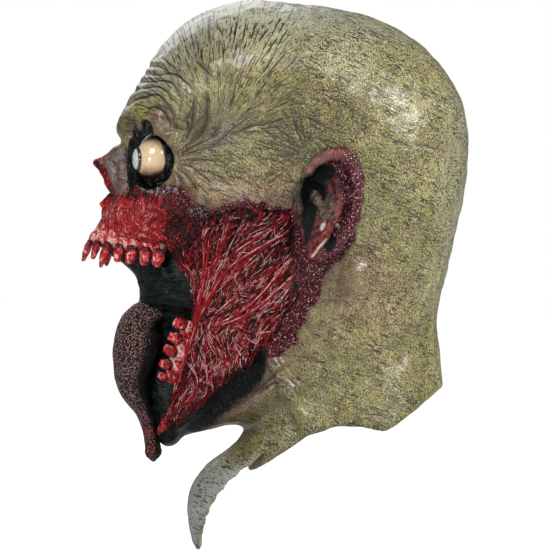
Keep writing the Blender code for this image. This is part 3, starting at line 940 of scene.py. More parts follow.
def head_features(clay):
    """Brow, eye sockets, nose, cheekbones, maxilla and jaw on the head's left half."""
    eye_y, eye_z = EYE[1], EYE[2]
    brow = [(0, -116, -69), (14, -117, -71), (30, -112, -66), (45, -101, -68), (56, -88, -80)]
    clay.add(*chain(brow, [7, 9, 8, 9, 6]), reach=8)
    clay.add(ball((12, -120, -72.5), (9.5, 9.5, 10)), reach=2)
    clay.add(ball((47, -96, -67.5), (12, 13, 11.5)), reach=2.5)
    clay.cut(ball((30, -122, -77), (8, 8, 8)), reach=5)

    cheekbone = chain([(36, -112, -126), (54, -92, -124), (70, -64, -122), (82, -30, -124)], [8, 9, 8, 5])
    clay.add(*cheekbone, reach=10)
    clay.add(ball((0, -117, -137), (27, 21.5, 17)), reach=8)
    clay.add(*chain([(16, -125, -100), (20, -122, -118), (24, -120, -132)], [5, 6, 7]), reach=6)

    clay.cut(ball((112, -74, -56), (28, 22, 26)), reach=10)
    clay.cut(ball((EYE[0] + 6, eye_y - 2, eye_z - 1), (22, 20.5, 21)), reach=2.5)

    bridge = chain([(0, -117, -84), (0, -130, -90), (0, -144, -96.5)], [5, 4, 2.6])
    clay.add(*bridge, reach=3)
    wing = [(2.5, -144.5, -97), (4.5, -140, -104), (5.5, -136.5, -112), (6.5, -133.5, -118)]
    clay.add(*chain(wing, [2.4, 2.2, 2.0, 2.0]), reach=2.5)
    side = chain([(5, -135, -97), (7, -131.5, -106), (9, -128, -117)], [4.6, 5.0, 5.5])
    clay.add(*side, reach=4)
    clay.add(*chain([(3, -127, -91), (7, -122, -102), (13, -120, -112)], [5.5, 6, 6]), reach=4)
    clay.add(*chain([(0, -134, -120), (0, -141, -126.5), (0, -136, -134)], [2.0, 1.6, 3.4]), reach=2)
    clay.cut(ball((0, -138, -110), (2.8, 11, 8), turn=("X", -18)), reach=1.5)

    jaw = chain([(60, -6, -196), (49, -40, -240), (33, -72, -268), (16, -92, -285)], [9, 9, 8, 7])
    clay.add(*jaw, reach=9)
    clay.add(ball((0, -93, -291), (17, 9, 10)), reach=5)
    tendon = chain([(66, -24, -226), (66, -8, -258), (62, 8, -285)], [4, 5, 5])
    clay.add(*tendon, reach=8)
    clay.add(*chain([(78, 40, -175), (66, 30, -225), (56, 20, -280)], [6, 6, 7]), reach=12)


SKIN_WALL = 3.6
# The neck's lower edge, as heights at places from front to back.
HEM_Y = [-60, -45, -40, -26, -4, 8, 27, 46, 62, 69, 104, 140]
HEM_Z = [-345, -335, -322, -314, -299, -290, -284, -284, -287.5, -284, -258, -238]
# The bib's rows: height, Y in the middle, half width, and how far its sides sweep back.
BIB_ROWS = [
    (-390, -68, 0.1, 2),
    (-376, -71.5, 3.5, 4),
    (-360, -76.5, 15, 11),
    (-343, -78, 27, 18),
    (-328, -74, 36, 24),
    (-315, -64.5, 42, 28),
    (-307, -54, 44, 27),
    (-299, -44, 45, 22),
    (-292, -38, 46, 18),
    (-280, -34, 47, 18),
]
BIB_HALF_WALL = 1.5
BIB_TOP = -292.0


def bib_sheet(clay):
    """The front bib: a thin sheet that narrows to a point, with a slightly ragged edge."""
    x, y, z = clay.places()
    rows = np.array(BIB_ROWS, float)
    middle, half, back = (curve_through(rows[:, 0], rows[:, k], z) for k in (1, 2, 3))
    across = np.clip(np.abs(x) / np.maximum(half, 1.0), 0, 1.4)
    sheet = middle + back * across**2
    lean = np.gradient(middle[0, 0], clay.axes[2])[None, None]
    flat = np.abs(y - sheet) / np.sqrt(1 + lean**2) - BIB_HALF_WALL
    edge = np.abs(x) - half * (1 + 0.015 * np.sin(z * 0.7)) + BIB_HALF_WALL
    bib = blend_max(flat, edge, 2.0)
    return np.maximum(np.maximum(bib, z - BIB_TOP), BIB_TIP - z)


def head_openings(clay, smooth):
    """Hollows the head to a skin, opens the mouth and neck, and joins the bib on."""
    _, y, z = clay.places()
    clay.cut(slab(MOUTH_OUTLINE, -200, 200), reach=3)
    face_back = -118 + 34 * ease(z, -55, -80)
    cavity = np.maximum(smooth + SKIN_WALL, face_back - y)
    clay.value = blend_max(clay.value, -cavity, 1.5)
    hem = np.interp(y, HEM_Y, HEM_Z)
    clay.value = blend_max(clay.value, (hem - z) * 0.85, 1.5)
    chin_floor = np.where(y < -56, -302.0, -345.0)
    clay.value = np.maximum(clay.value, chin_floor - z)
    clay.value = blend_min(clay.value, bib_sheet(clay), 4.0).astype(np.float32)


# Creases drawn as (Y, Z) points, each with its width and depth.
CREASES = [
    ([(-65.3, -50), (-65.3, -66), (-69.4, -75), (-76, -81.5), (-84, -88)], 2.2, 2.2),
    ([(-74, -47), (-74.5, -58), (-75.5, -67), (-78, -75), (-84.5, -82)], 1.7, 1.3),
    ([(-79.7, -62.8), (-78.2, -69), (-78.7, -79), (-82, -81.5)], 1.4, 0.9),
    ([(-109.5, -57.5), (-101, -57.3), (-94.5, -63), (-91, -70)], 1.6, 1.8),
    ([(-124.6, -57), (-115, -51), (-102.3, -47.3), (-95.6, -52), (-90, -62), (-88, -72)], 1.6, 1.5),
    ([(-120, -47), (-111, -43.5), (-100, -42), (-93, -46.5), (-90, -52)], 1.6, 1.3),
    ([(-117, -40.5), (-105.7, -38.5), (-92, -38.3), (-86.7, -44), (-83, -50)], 1.5, 1.2),
    ([(-113, -33.5), (-102, -33.4), (-88, -33), (-79.5, -39.5), (-73, -47)], 1.5, 1.1),
    ([(-111, -28), (-101, -27.5), (-92, -31)], 1.4, 0.9),
    ([(-119, -52.5), (-112, -49), (-107, -50)], 1.4, 0.8),
    ([(-97.8, -21.1), (-91.2, -26.1), (-85.6, -30.6)], 1.3, 0.8),
    ([(-72.5, -24), (-66, -30), (-61, -36)], 2.0, 1.1),
    ([(-87, -90.7), (-76.6, -85.5), (-66.3, -80)], 1.3, 0.9),
    ([(-86, -92.5), (-70, -87), (-54, -83.4), (-40, -83)], 1.2, 0.8),
    ([(-86, -94.5), (-74.6, -93.7), (-63, -94.7), (-49, -97)], 1.2, 0.8),
    ([(-86, -97), (-76.6, -99), (-67.4, -106), (-59, -111)], 1.4, 1.1),
    ([(-87, -99.5), (-79.7, -105), (-74.6, -111), (-71.5, -116.5)], 1.4, 1.1),
    ([(-88, -102), (-83.8, -108), (-80.7, -115)], 1.4, 1.0),
    ([(-63.3, -79), (-58, -73), (-55, -66)], 1.2, 0.8),
    ([(-56.2, -81.4), (-49, -74), (-39.6, -67), (-34, -60)], 1.2, 0.8),
    ([(-72, -101), (-62, -103.5), (-52, -109), (-44, -116)], 1.2, 0.7),
    ([(-49, -60), (-46, -50), (-44, -38)], 1.5, 0.9),
    ([(-44, -75), (-34, -70.5), (-22, -69)], 1.5, 1.0),
    ([(-21, -37), (-27, -45)], 1.3, 0.9),
    ([(-58, 2), (-53, -6)], 1.3, 0.8),
    ([(-110, -88), (-113, -100), (-116, -112)], 2.0, 1.6),
    ([(-30, -262), (-16, -246), (-4, -240)], 1.6, 1.0),
    ([(-44, -272), (-26, -258), (-10, -252), (2, -262)], 1.6, 1.0),
]
EAR_CREASES = 11
LOOSE_CREASES = 70
CREASE_WIDTH = 1.1
# Creases are shared out over this many sets, so that lines that lie close keep apart in the paint.
LINE_SETS = 4


def creases():
    """Every crease: those listed, the ear's fan, and short ones scattered over the head."""
    found = list(CREASES)
    pole = np.array([EAR_LOW[1] + 12, EAR_HIGH[2] - 1])
    for k in range(EAR_CREASES):
        angle = math.radians(100 + 9.0 * k + random.uniform(-3, 3))
        start, length = random.uniform(2, 8), random.uniform(16, 38)
        bend = random.uniform(-0.3, 0.3)
        path = []
        for step in np.linspace(0, 1, 5):
            reach, turn = start + length * step, angle + bend * step
            path.append((pole[0] + reach * math.cos(turn), pole[1] + reach * math.sin(turn)))
        found.append((path, CREASE_WIDTH, random.uniform(0.4, 0.8)))
    temple = np.array([-58.0, -74.0])
    for _ in range(LOOSE_CREASES):
        y, z = random.uniform(-98, 118), random.uniform(-175, 16)
        away = np.array([y, z]) - temple
        fan = math.atan2(away[1], away[0])
        angle = fan if y < -8 else fan + (math.radians(-24) - fan) * min((y + 8) / 30, 1)
        angle += math.radians(random.normal(0, 9))
        length = random.uniform(7, 19)
        run = length / 2 * np.array([math.cos(angle), math.sin(angle)])
        sag = random.uniform(-1, 1)
        path = [(y - run[0], z - run[1]), (y, z + sag), (y + run[0], z + run[1])]
        found.append((path, CREASE_WIDTH, random.uniform(0.25, 0.6)))
    return found


def signed_distance(points, path):
    """Distance from a 2D path, negative on its right, and how far along the path the nearest place is."""
    path = np.asarray(path, float)
    starts, runs = path[:-1], np.diff(path, axis=0)
    lengths = np.linalg.norm(runs, axis=1)
    offset = points[:, None] - starts[None]
    t = np.clip(np.einsum("nkd,kd->nk", offset, runs) / lengths**2, 0, 1)
    nearest = offset - t[..., None] * runs[None]
    away = np.linalg.norm(nearest, axis=2)
    best = away.argmin(axis=1)
    rows = np.arange(len(points))
    side = runs[best, 0] * offset[rows, best, 1] - runs[best, 1] * offset[rows, best, 0]
    done = np.concatenate([[0], np.cumsum(lengths)])
    along = (done[best] + t[rows, best] * lengths[best]) / done[-1]
    return away[rows, best] * np.where(side < 0, -1, 1), along


# The upper edge of the torn cheek, from the eye to the ear, and its lower edge along the jaw.
FLESH_EDGE = [
    (-106, -108), (-94, -110.5), (-82, -115), (-71, -125), (-60, -128.5), (-50, -127), (-38, -125),
    (-20, -125), (-7, -127), (1, -120),
]
JAW_EDGE = [
    (12, -168), (5, -196), (-16, -224), (-36, -246), (-60, -266), (-80, -284), (-96, -297),
]
FLESH_OUTLINE = [(-160, -88), (-131, -88), (-122, -104), (-112, -112)]
FLESH_OUTLINE += FLESH_EDGE + JAW_EDGE + [(-110, -310), (-160, -310)]
# The raw patch that runs from behind the ear down to the jaw.
BELOW_EAR = [
    (-8, -130), (20, -110), (39, -138), (41, -150), (31, -163), (21, -174), (16, -184), (11, -197),
    (4, -211), (-2, -225), (-14, -234), (-30, -238), (-8, -200),
]
NOSE_EDGE = [(-147, -96), (-141, -103), (-137.5, -111), (-134.5, -118)]
# Raw flesh under the eye and on the cheek painted with glinting squiggles; the foam attribute carries them.
GLINT_SQUIGGLES_UNDER_EYE = [(-112, -113), (-99, -117), (-88, -115)]
GLINT_SQUIGGLES_ON_CHEEK = [(-74, -130), (-62, -134), (-50, -132)]
FAN_POLES = {
    "eye": (EYE[1] + 9, EYE[2]),
    "ear": (EAR_LOW[1] + 12, EAR_HIGH[2] - 2),
    "temple": (-58, -76),
}


def dark_places(points, normals):
    """Where the skin turns black: black paint in the sockets, nostril and mouth, painted shade under the brow
    and painted shadow under the jaw.
    """
    x, y, z = points.T
    flat = points[:, 1:]
    socket = patch(np.stack([np.abs(x), y, z], 1), EYE, 1.0, 25, 22.5)
    # Painted shadow: a black band along the jaw's lower edge, towards the front.
    shadow_under_jaw = trail(flat, JAW_EDGE, 24, 2) * ease(y, -14, -30)
    shadow_under_jaw = shadow_under_jaw * ease(inside_outline(y, z, FLESH_OUTLINE), -9, -3)
    mouth = ease(inside_outline(y, z, MOUTH_OUTLINE), 2.0, 0.0) * ease(z, -170, -190)
    nostril = patch(points, (0, -131, -110), (8, 11, 13), 1.0, 0.7) * ease(np.abs(x), 8, 5)
    # Painted shade: black under the brow between its lobes, except on faces that look straight forward.
    shade_under_brow = patch(flat, (-110.5, -74), (7, 8), 1.35, 0.8) * ease(np.abs(x), 64, 56)
    shade_under_brow *= ease(normals[:, 1], -0.95, -0.7)
    inner_corner = patch(flat, (-119, -98), (3.6, 19), 1.3, 0.8)
    return np.clip(socket + shadow_under_jaw + mouth + 0.8 * nostril + 0.95 * shade_under_brow + 0.7 * inner_corner, 0, 1)


def tints(points, cheek, flesh, nose):
    """How strongly each of the skin's other colours shows, painted light and shade among them."""
    y, z = points[:, 1], points[:, 2]
    flat = points[:, 1:]
    brows = patch(flat, (-95, -68), 1.0, 16, 8) + patch(flat, (-121, -71), 1.0, 12, 5)
    fringe = trail(flat, FLESH_EDGE, 16, 2) * (1 - cheek)
    # Painted shade: the neck is browned most just under the jaw, fading within 44 mm of it.
    neck = trail(flat, JAW_EDGE, 44, 8) * ease(z, -190, -225) * (1 - cheek)
    behind_ear = patch(flat, (28, -176), 1.0, 34, 10)
    temple = patch(flat, (-62, -72), (26, 22), 1.2, 0.3)
    crown = patch(flat, (-55, -22), (34, 20), 1.2, 0.4)
    dense = patch(flat, (12, -62), (62, 44), 1.2, 0.3) + 0.6 * ease(z, -235, -265)
    under_cheekbone = trail(flat, FLESH_EDGE, 34, 8) * ease(y, 10, -6)
    nape = patch(flat, (50, -190), (34, 46), 1.2, 0.4)
    # Painted light: pale on the top, the upper forehead and the back edge; dense is also lowered at the back
    # edge, which thins the dark spots there.
    top = ease(z, -40, 10)
    forehead = ease(y, -62, -92) * ease(z, -58, -40)
    back = ease(y, 88, 118) * ease(z, -200, -120)
    return {
        "brown": np.clip(0.9 * brows + 0.75 * fringe + 0.85 * neck + 0.7 * behind_ear, 0, 1),
        "purple": np.clip(0.9 * temple + 0.45 * crown + 1.6 * nose, 0, 1.6),
        "dense": np.clip(dense, 0, 1) - 0.6 * ease(y, 84, 104),
        "tan": np.maximum(under_cheekbone, 0.8 * nape),
        "pale": np.clip(0.55 * top + 0.35 * forehead + 0.35 * back, 0, 1) * (1 - flesh),
        "bib": ease(z, -300, -322),
    }


def hairline_fans(flat):
    """Each fan of hairlines, at every point: its turn round the pole, distance from it, and strength."""
    y, z = flat.T
    found = {}
    for name, pole in FAN_POLES.items():
        offset = flat - pole
        dy, dz = offset.T
        # The seam where a turn jumps by a whole circle lies on the side that the fan leaves bare.
        found[name + "_turn"] = np.arctan2(*{"eye": (dz, dy), "ear": (-dz, -dy), "temple": (-dy, dz)}[name])
        found[name + "_reach"] = np.linalg.norm(offset, axis=1)
    eye, ear, temple = (found[name + "_reach"] for name in FAN_POLES)
    found["eye_fan"] = ease(eye, 62, 30) * ease(eye, 5, 9) * ease(y, -96, -88)
    found["ear_fan"] = ease(ear, 50, 26) * ease(ear, 2, 6) * ease(y, 14, 4)
    found["temple_fan"] = ease(temple, 12, 20) * ease(y, 12, -14) * ease(z, -84, -72)
    return found


def head_attributes(points, normals, smooth):
    """What the paint is told at each point of the head."""
    x, y, z = points.T
    flat = points[:, 1:]
    torn = inside_outline(y, z, FLESH_OUTLINE) + 3.0 * rough(points, 12, 3, 5)
    cheek = ease(torn, 3.5, -3.5)
    nose = ease(y, -119, -124) * ease(z, -82, -90) * ease(z, -124, -116)
    below_ear = inside_outline(y, z, BELOW_EAR) + 2.0 * rough(points, 8, 3, 15)
    flesh = cheek * (1 - 0.85 * nose * ease(np.abs(x), 2, 5))
    flesh = np.maximum(flesh, ease(below_ear, 2.5, -2.5))
    flesh = np.maximum(flesh, trail(flat, NOSE_EDGE, 4.2, 2.6))
    # foam marks painted glints on raw flesh, not real foam.
    foam = np.maximum(trail(flat, GLINT_SQUIGGLES_UNDER_EYE, 4.0, 1.0), 0.8 * trail(flat, GLINT_SQUIGGLES_ON_CHEEK, 5, 1.5))

    inner = ease(smooth, -1.5, -2.3) * ease(y, -90, -82)
    facing_back = ease(normals[:, 1] - 0.25 * normals[:, 2], 0.0, 0.3)
    bib_inside = ease(z, -300, -306) * facing_back * ease(y, -20, -30)
    maxilla = ease(z, -117, -128) * ease(y, -86, -104)
    cheek_band = ease(y, -100, -84) * ease(z, -146, -136)
    nose_tip = ease(y, -128, -138) * ease(z, -118, -112)
    under_edge = trail(flat, FLESH_EDGE, 17, 9) * ease(y, -96, -86) * ease(z, -146, -138)
    return {
        "flesh": np.maximum(flesh, foam),
        "foam": foam,
        "gritty": np.clip(under_edge + ease(below_ear, 6, 2), 0, 1),
        "redness": 0.22 + 0.40 * maxilla - 0.04 * cheek_band + 0.16 * nose_tip,
        "inner": np.maximum(inner, bib_inside),
        "dark": dark_places(points, normals),
        **tints(points, cheek, flesh, nose),
        **hairline_fans(flat),
    }


def crease_depth(points, normals):
    """How deep each point is pressed in, and each set of creases' signed distance and strength of ink."""
    flat = points[:, 1:]
    depth = np.zeros(len(points))
    lines = {f"line_{k}": np.full(len(points), 9.0) for k in range(LINE_SETS)}
    inks = {f"ink_{k}": np.zeros(len(points)) for k in range(LINE_SETS)}
    facing = ease(np.abs(normals[:, 0]) + np.abs(normals[:, 2]) + ease(-normals[:, 1], 0.2, 0.6), 0.1, 0.4)
    for k, (path, width, deep) in enumerate(creases()):
        corners = np.array(path)
        at = np.linspace(0, len(path) - 1, 14)
        fine = np.stack([curve_through(np.arange(len(path)), corners[:, n], at) for n in range(2)], 1)
        near = np.flatnonzero(np.all((flat > fine.min(0) - 7) & (flat < fine.max(0) + 7), axis=1))
        away, along = signed_distance(flat[near], fine)
        taper = np.sqrt(np.clip(4 * along * (1 - along), 0, 1))
        groove = np.exp(-((away / width) ** 2))
        lip = np.exp(-(((np.abs(away) - 2.1 * width) / width) ** 2))
        depth[near] += deep * taper * (groove - 0.35 * lip)
        line, ink = lines[f"line_{k % LINE_SETS}"], inks[f"ink_{k % LINE_SETS}"]
        closer = np.abs(away) < np.abs(line[near])
        line[near[closer]] = away[closer] / width
        strength = taper * min(0.45 + 0.55 * deep, 1.0) * ease(np.abs(away), 3.2, 1.8)
        ink[near[closer]] = strength[closer]
    return depth * facing, {**lines, **inks}


def make_head(paint):
    """The head skin and the bib as one mesh: clay, mirrored, then pressed with creases and roughened."""
    xs = spaced((-0.6, 1.2), (0.6, 1.25), (101, None))
    xs[0], xs[1] = -xs[1], xs[1]
    ys = spaced((-158, 1.2), (-60, 1.4), (0, 1.8), (128, None))
    zs = spaced((-382, 1.8), (-305, 1.3), (-60, 1.25), (-20, 1.7), (24, None))
    clay = Clay(xs, ys, zs)
    head_base(clay)
    smooth = clay.value.copy()
    head_features(clay)
    head_openings(clay, smooth)
    half_points, half_quads = surface_net(clay)
    base = Clay(xs, ys, zs)
    base.value = smooth
    smooth_at = base.sample(half_points)
    middle = np.abs(half_points[:, 0]) < 1e-3
    points, quads = mirror_half(half_points, half_quads)
    smooth_at = np.concatenate([smooth_at, smooth_at[~middle]])
    normals = vertex_normals(points, quads)
    attributes = head_attributes(points, normals, smooth_at)

    outside = ease(smooth_at, -2.2, -1.0)
    depth, lines = crease_depth(points, normals)
    attributes.update(lines)
    skin_only = outside * (1 - attributes["flesh"])
    relief = 0.7 * rough(points, 16, 2, 3) + 0.35 * lumps(points, 5, 9)
    torn = attributes["flesh"] * (0.8 * rough(points, 7, 3, 21) - 0.2)
    relief = relief * (1 - attributes["flesh"]) + torn
    points = points + normals * (outside * relief - skin_only * depth)[:, None]

    head = make_object("head_skin_latex", points, quads, paint, "olive_latex", ["head_skin", "front_bib"],
                       body=None, attributes=attributes)
    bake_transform(head)


# ---------------------------------------------------------------- eyes


def globe(centre, radius, turn, segments, rings, limit=math.pi):
    """Points and faces of a ball from its pole, on turn's z axis, down to an angle of limit from it."""
    points = [centre + turn @ Vector((0, 0, radius))]
    for k in range(1, rings + 1):
        a = limit * k / rings
        for i in range(segments):
            b = 2 * math.pi * i / segments
            local = Vector((math.sin(a) * math.cos(b), math.sin(a) * math.sin(b), math.cos(a)))
            points.append(centre + turn @ (local * radius))
    faces = [(0, 1 + i, 1 + (i + 1) % segments) for i in range(segments)]
    for k in range(rings - 1):
        for i in range(segments):
            j = (i + 1) % segments
            a, b = 1 + k * segments, 1 + (k + 1) * segments
            faces.append((a + i, b + i, b + j, a + j))
    return points, faces


# How far the iris reaches from the gaze's line, in degrees, and how far it stands off the eyeball.
IRIS_HALF_ANGLE = 30.5
IRIS_GAP = 0.35
IRIS_BULGE = 1.9


def make_eye(side, word, eye_finish, lens_finish, lid_finish):
    """An eyeball with painted shade browning its rim, a domed clouded iris and the lids round them."""
    centre = Vector((EYE[0] * side, EYE[1], EYE[2]))
    gaze = Vector((LENS[0] * side, LENS[1], LENS[2])) - centre
    gaze.normalize()
    turn = Vector((0, 0, 1)).rotation_difference(gaze).to_matrix()
    points, faces = globe(centre, EYE_RADIUS, turn, 72, 44, math.radians(179))
    points = np.array(points)
    facing = (points - np.array(centre)) @ np.array(gaze) / EYE_RADIUS
    sideways = (points[:, 0] * side - EYE[0]) / EYE_RADIUS
    drop = (points[:, 2] - EYE[2]) / EYE_RADIUS
    # Painted shade: facing stays high where the eye looks along its gaze or to its outer side, and is lowered
    # towards the bottom and the back.
    facing = np.maximum(facing, 0.75 * sideways + 0.25 * facing) - 0.55 * ease(-drop, -0.1, 1.0)
    facing -= 0.40 * ease((points[:, 1] - EYE[1]) / EYE_RADIUS, 0.15, 0.8)
    make_object(word + "_glass_eye", points, faces, eye_finish, "painted_eyeball", [word + "_eyeball"],
                attributes={"facing": facing})

    half = math.radians(IRIS_HALF_ANGLE)
    points, faces = globe(centre, EYE_RADIUS, turn, 56, 16, half)
    points = np.array(points)
    offset = (points - np.array(centre)) / EYE_RADIUS
    angle = np.arccos(np.clip(offset @ np.array(gaze), -1, 1))
    across = np.sin(angle) / math.sin(half)
    swell = EYE_RADIUS + IRIS_GAP + IRIS_BULGE * np.sqrt(np.clip(1 - across**2, 0, 1))
    points = np.array(centre) + offset * swell[:, None]
    make_object(word + "_clouded_iris", points, faces, lens_finish, "clouded_lens", [word + "_eye_lens"],
                attributes={"across": across})
    make_lids(side, word, lid_finish)


# Each fold of the lids: height, width and standing out as shares of the eye's radius, and its thickness.
LID_FOLDS = [
    (0.92, 1.00, 0.30, 1.3),
    (1.03, 1.05, 0.16, 1.5),
    (1.15, 1.10, 0.02, 1.6),
    (1.28, 1.16, -0.14, 1.9),
]


# The folds that run down beside the nose: start, bend, end and thickness.
NOSE_FOLDS = (
    ((11, -123, -80), (13, -121, -98), (19, -116, -114), 1.9),
    ((15, -121, -84), (17, -118.5, -100), (24, -112, -115), 1.7),
    ((9, -124, -90), (11, -124, -106), (16, -120, -122), 1.5),
)


def make_lids(side, word, finish):
    """Black folded rims round the eye, and the folds that run down from its inner corner beside the nose."""
    low, high = EYE - 30, EYE + 30
    clay = Clay(*(spaced((a, 0.75), (b, None)) for a, b in zip(low, high)))
    out = np.array([0.62, -0.78, 0.02])
    out /= np.linalg.norm(out)
    up = np.array([0.0, 0.0, 1.0])
    across = np.cross(up, out)
    for phase, (tall, wide, depth, thick) in enumerate(LID_FOLDS):
        path, radii = [], []
        for a in np.linspace(0, 2 * math.pi, 33):
            wobble = 1 + 0.025 * math.sin(3 * a + phase) + 0.015 * math.sin(7 * a + 2 * phase)
            droop = 0.05 * max(-math.sin(a), 0)
            middle = EYE + out * EYE_RADIUS * depth
            flat = across * wide * math.cos(a) + up * (tall + droop) * math.sin(a)
            path.append(middle + flat * EYE_RADIUS * wobble)
            radii.append(thick * (1 + 0.16 * math.sin(5 * a + phase)))
        clay.add(*chain(path, radii), reach=0.5)
    for start, bend, end, thick in NOSE_FOLDS:
        clay.add(*chain([start, bend, end], [thick * 0.7, thick, thick * 0.8]), reach=1.0)
    clay.cut(ball(EYE, EYE_RADIUS + 0.25), reach=0.6)
    points, quads = surface_net(clay)
    normals = vertex_normals(points, quads)
    flat = points[:, 1:]
    ring = np.hypot(*((flat - EYE[1:]) / (EYE_RADIUS * 0.83, EYE_RADIUS)).T)
    # Painted sheen lies along the folds' rings.
    fold = np.max([ease(np.abs(ring - centre), 0.045, 0.0) for centre in (1.05, 1.19, 1.32)], axis=0)
    # Painted highlights: a streak along the upper lid and a fainter one beside the eyeball.
    glint = trail(flat, [(-112, -85), (-108.5, -78), (-102, -72)], 1.5, 0.8)
    glint = np.maximum(glint, 0.45 * trail(flat, [(-95.5, -95), (-101, -104)], 1.3, 0.5))
    points = points + normals * (0.3 * rough(points, 4, 3, 40))[:, None]
    make_object(word + "_eyelids", *mirrored(points, quads, side), finish, "black_latex",
                attributes={"glint": glint, "fold": fold})


# ---------------------------------------------------------------- ears

# The ear's rim from the side, from its upper front round to the lobe.
EAR_OUTLINE = [
    (1, -116), (6, -104), (13, -95.5), (22, -90), (31, -90), (38, -95.5), (41.5, -107),
    (41.5, -121), (39.5, -134), (34.5, -145), (26, -155), (17, -161), (9, -162),
]


def ear_flare(y):
    """How far out the ear's rim stands at a place from front to back."""
    return 95.0 + 0.16 * (y - 2)


def ear_clay():
    """The left ear: rim, plate and stalk, with the fold raised and the hollows cut."""
    low = np.array([70, EAR_LOW[1] - 12, EAR_LOW[2] - 6])
    high = np.array([112, EAR_HIGH[1] + 6, EAR_HIGH[2] + 6])
    clay = Clay(*(spaced((a, 0.85), (b, None)) for a, b in zip(low, high)))
    rim = [(ear_flare(y), y, z) for y, z in EAR_OUTLINE]
    rim[0] = (90, 2, -118)
    thick = [3.4, 3.6, 4.2, 4.8, 5.2, 5.2, 5.0, 4.6, 4.4, 4.2, 4.2, 4.2, 3.2]
    clay.add(*chain(rim, thick), reach=2.5)

    plate = [(y * 0.96 + 1, z) for y, z in EAR_OUTLINE] + [(3, -150), (0, -132)]

    def plate_distance(x, y, z):
        flat = inside_outline(y[0], z[0], plate)[None]
        middle = ear_flare(y) - 5.5 + 0 * z
        return np.maximum(flat, np.abs(x - middle) - 2.6)

    clay.add((plate_distance, low, high), reach=4)
    stalk = [(3, -128), (8, -104), (22, -98), (31, -112), (30, -134), (16, -152), (5, -146)]
    clay.add(slab(stalk, 78, 92), reach=5)

    fold = [(23, -101), (29, -111), (30, -124), (26, -137), (19, -147), (14, -156)]
    clay.add(*chain([(ear_flare(y) - 2.0, y, z) for y, z in fold], [2.6, 3.2, 3.6, 3.6, 3.4, 2.8]), reach=3)
    clay.cut(ball((98, 10, -120), (11, 9.5, 13)), reach=3)
    clay.cut(ball((99, 20, -104), (7, 9, 6), turn=("X", 35)), reach=3)
    clay.cut(*chain([(98, 7, -130), (98, 6.5, -142), (98, 9, -154)], [4.5, 3.6, 2.4]), reach=2.5)
    clay.cut(*chain([(99, 38, -102), (100, 41, -116), (99, 37, -132)], [3.4, 3.6, 3.0]), reach=3)
    clay.add(ball((90, 13, -121), (6, 4.5, 8), turn=("X", 20)), reach=2)
    clay.add(*chain([(93, -1, -122), (94, 0, -130), (92, 1, -138)], [3.4, 4.0, 3.0]), reach=3)
    return clay


def ear_attributes(points):
    """What the paint is told at each point of the ear."""
    y, z = points[:, 1], points[:, 2]
    flat = points[:, 1:]
    edge = distance_to_path(flat, EAR_OUTLINE)[0]

    def blot(centre, radii, turn=0.0):
        """1 inside an ellipse drawn on the ear, fading to 0 outside it."""
        c, s = math.cos(math.radians(turn)), math.sin(math.radians(turn))
        dy, dz = (flat - centre).T
        return ease(np.hypot((dy * c + dz * s) / radii[0], (dz * c - dy * s) / radii[1]), 1.25, 0.85)

    slit = distance_to_path(flat, [(8, -130), (7, -142), (5, -158)])[0] - 4.5 * ease(z, -160, -132)
    knob = blot((13.2, -122), (4, 6.5), 20)
    # Painted shade: the hollows cut into the ear, all but the knob, are near-black, with a black spot below.
    hollow = np.maximum(blot((10.5, -117), (9.5, 14), -12), blot((18, -103.5), (8.5, 6), 20))
    hollow = np.maximum(hollow, ease(slit, 1.5, -0.5)) * (1 - knob)
    hollow = np.maximum(hollow, blot((23, -153), (3.5, 6), -35))
    front_rim = trail(flat, EAR_OUTLINE[:4], 9, 4) * ease(y, 24, 14)
    skin = front_rim + 0.8 * blot((20, -128), (7, 9)) * (1 - hollow) + 0.6 * knob
    # Painted highlight: pink along the top of the rim.
    highlight_on_rim_top = ease(edge, 5, 2) * ease(z, -108, -98) * ease(y, 36, 28)
    # Painted highlights: pale glints on the lobe, and a streak near its tip.
    glint = blot((17.4, -141), (1.4, 3.0), -25) + blot((28, -140.5), (1.1, 1.8), 30)
    return {
        "rim": np.maximum(ease(edge, 13, 9) * ease(y, 12, 20), ease(y - 0.5 * z, 92, 98)),
        "hollow": hollow,
        "lobe": trail(flat, [(28, -126), (20, -143), (11, -161)], 4.6, 2.8),
        "skin": np.clip(skin, 0, 1),
        "pink": highlight_on_rim_top + 0.8 * blot((28, -128), (3, 5)),
        "glint": glint + trail(flat, [(10, -162), (15, -155.5), (20, -150)], 1.2, 0.3),
    }


def make_ears(finish):
    """The left ear on the side of the head, and its mirror twin."""
    points, quads = surface_net(ear_clay())
    normals = vertex_normals(points, quads)
    attributes = ear_attributes(points)
    points = points + normals * (0.45 * rough(points, 6, 3, 50))[:, None]
    for side, word in SIDES:
        make_object(word + "_torn_ear", *mirrored(points, quads, side), finish, "blood_latex",
                    [word + "_ear"], attributes=attributes)


# ---------------------------------------------------------------- gums and teeth


def tooth_places(jaw):
    """Each CAD tooth's centre on one jaw, from the wearer's right back end round to the left."""
    names = sorted(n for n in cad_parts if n.startswith(jaw + "_tooth_"))
    right = [n for n in names if "_right_" in n]
    left = [n for n in names if "_left_" in n]
    order = right + left[::-1]
    return order, np.array([node_centre(n) for n in order])


# The way each jaw's teeth point, from root to tip.
BITE = {"upper": (0, -0.14, -0.99), "lower": (0, -0.942, 0.335)}
# Each tooth's width, length and the share of its width left at the tip, from back to front.
TOOTH_FORMS = {
    "upper": [(9.4, 14, 0.50), (8.2, 14, 0.62), (7.8, 14.5, 0.76), (7.2, 14.5, 0.62), (6.8, 20, 0.36),
              (5.8, 15, 0.7), (6.2, 18, 0.62)],
    "lower": [(7.8, 11.5, 0.88), (7.8, 11.5, 0.82), (7.6, 11.5, 0.80), (7.2, 11, 0.7), (6.5, 9, 0.6),
              (6.0, 9, 0.7)],
}
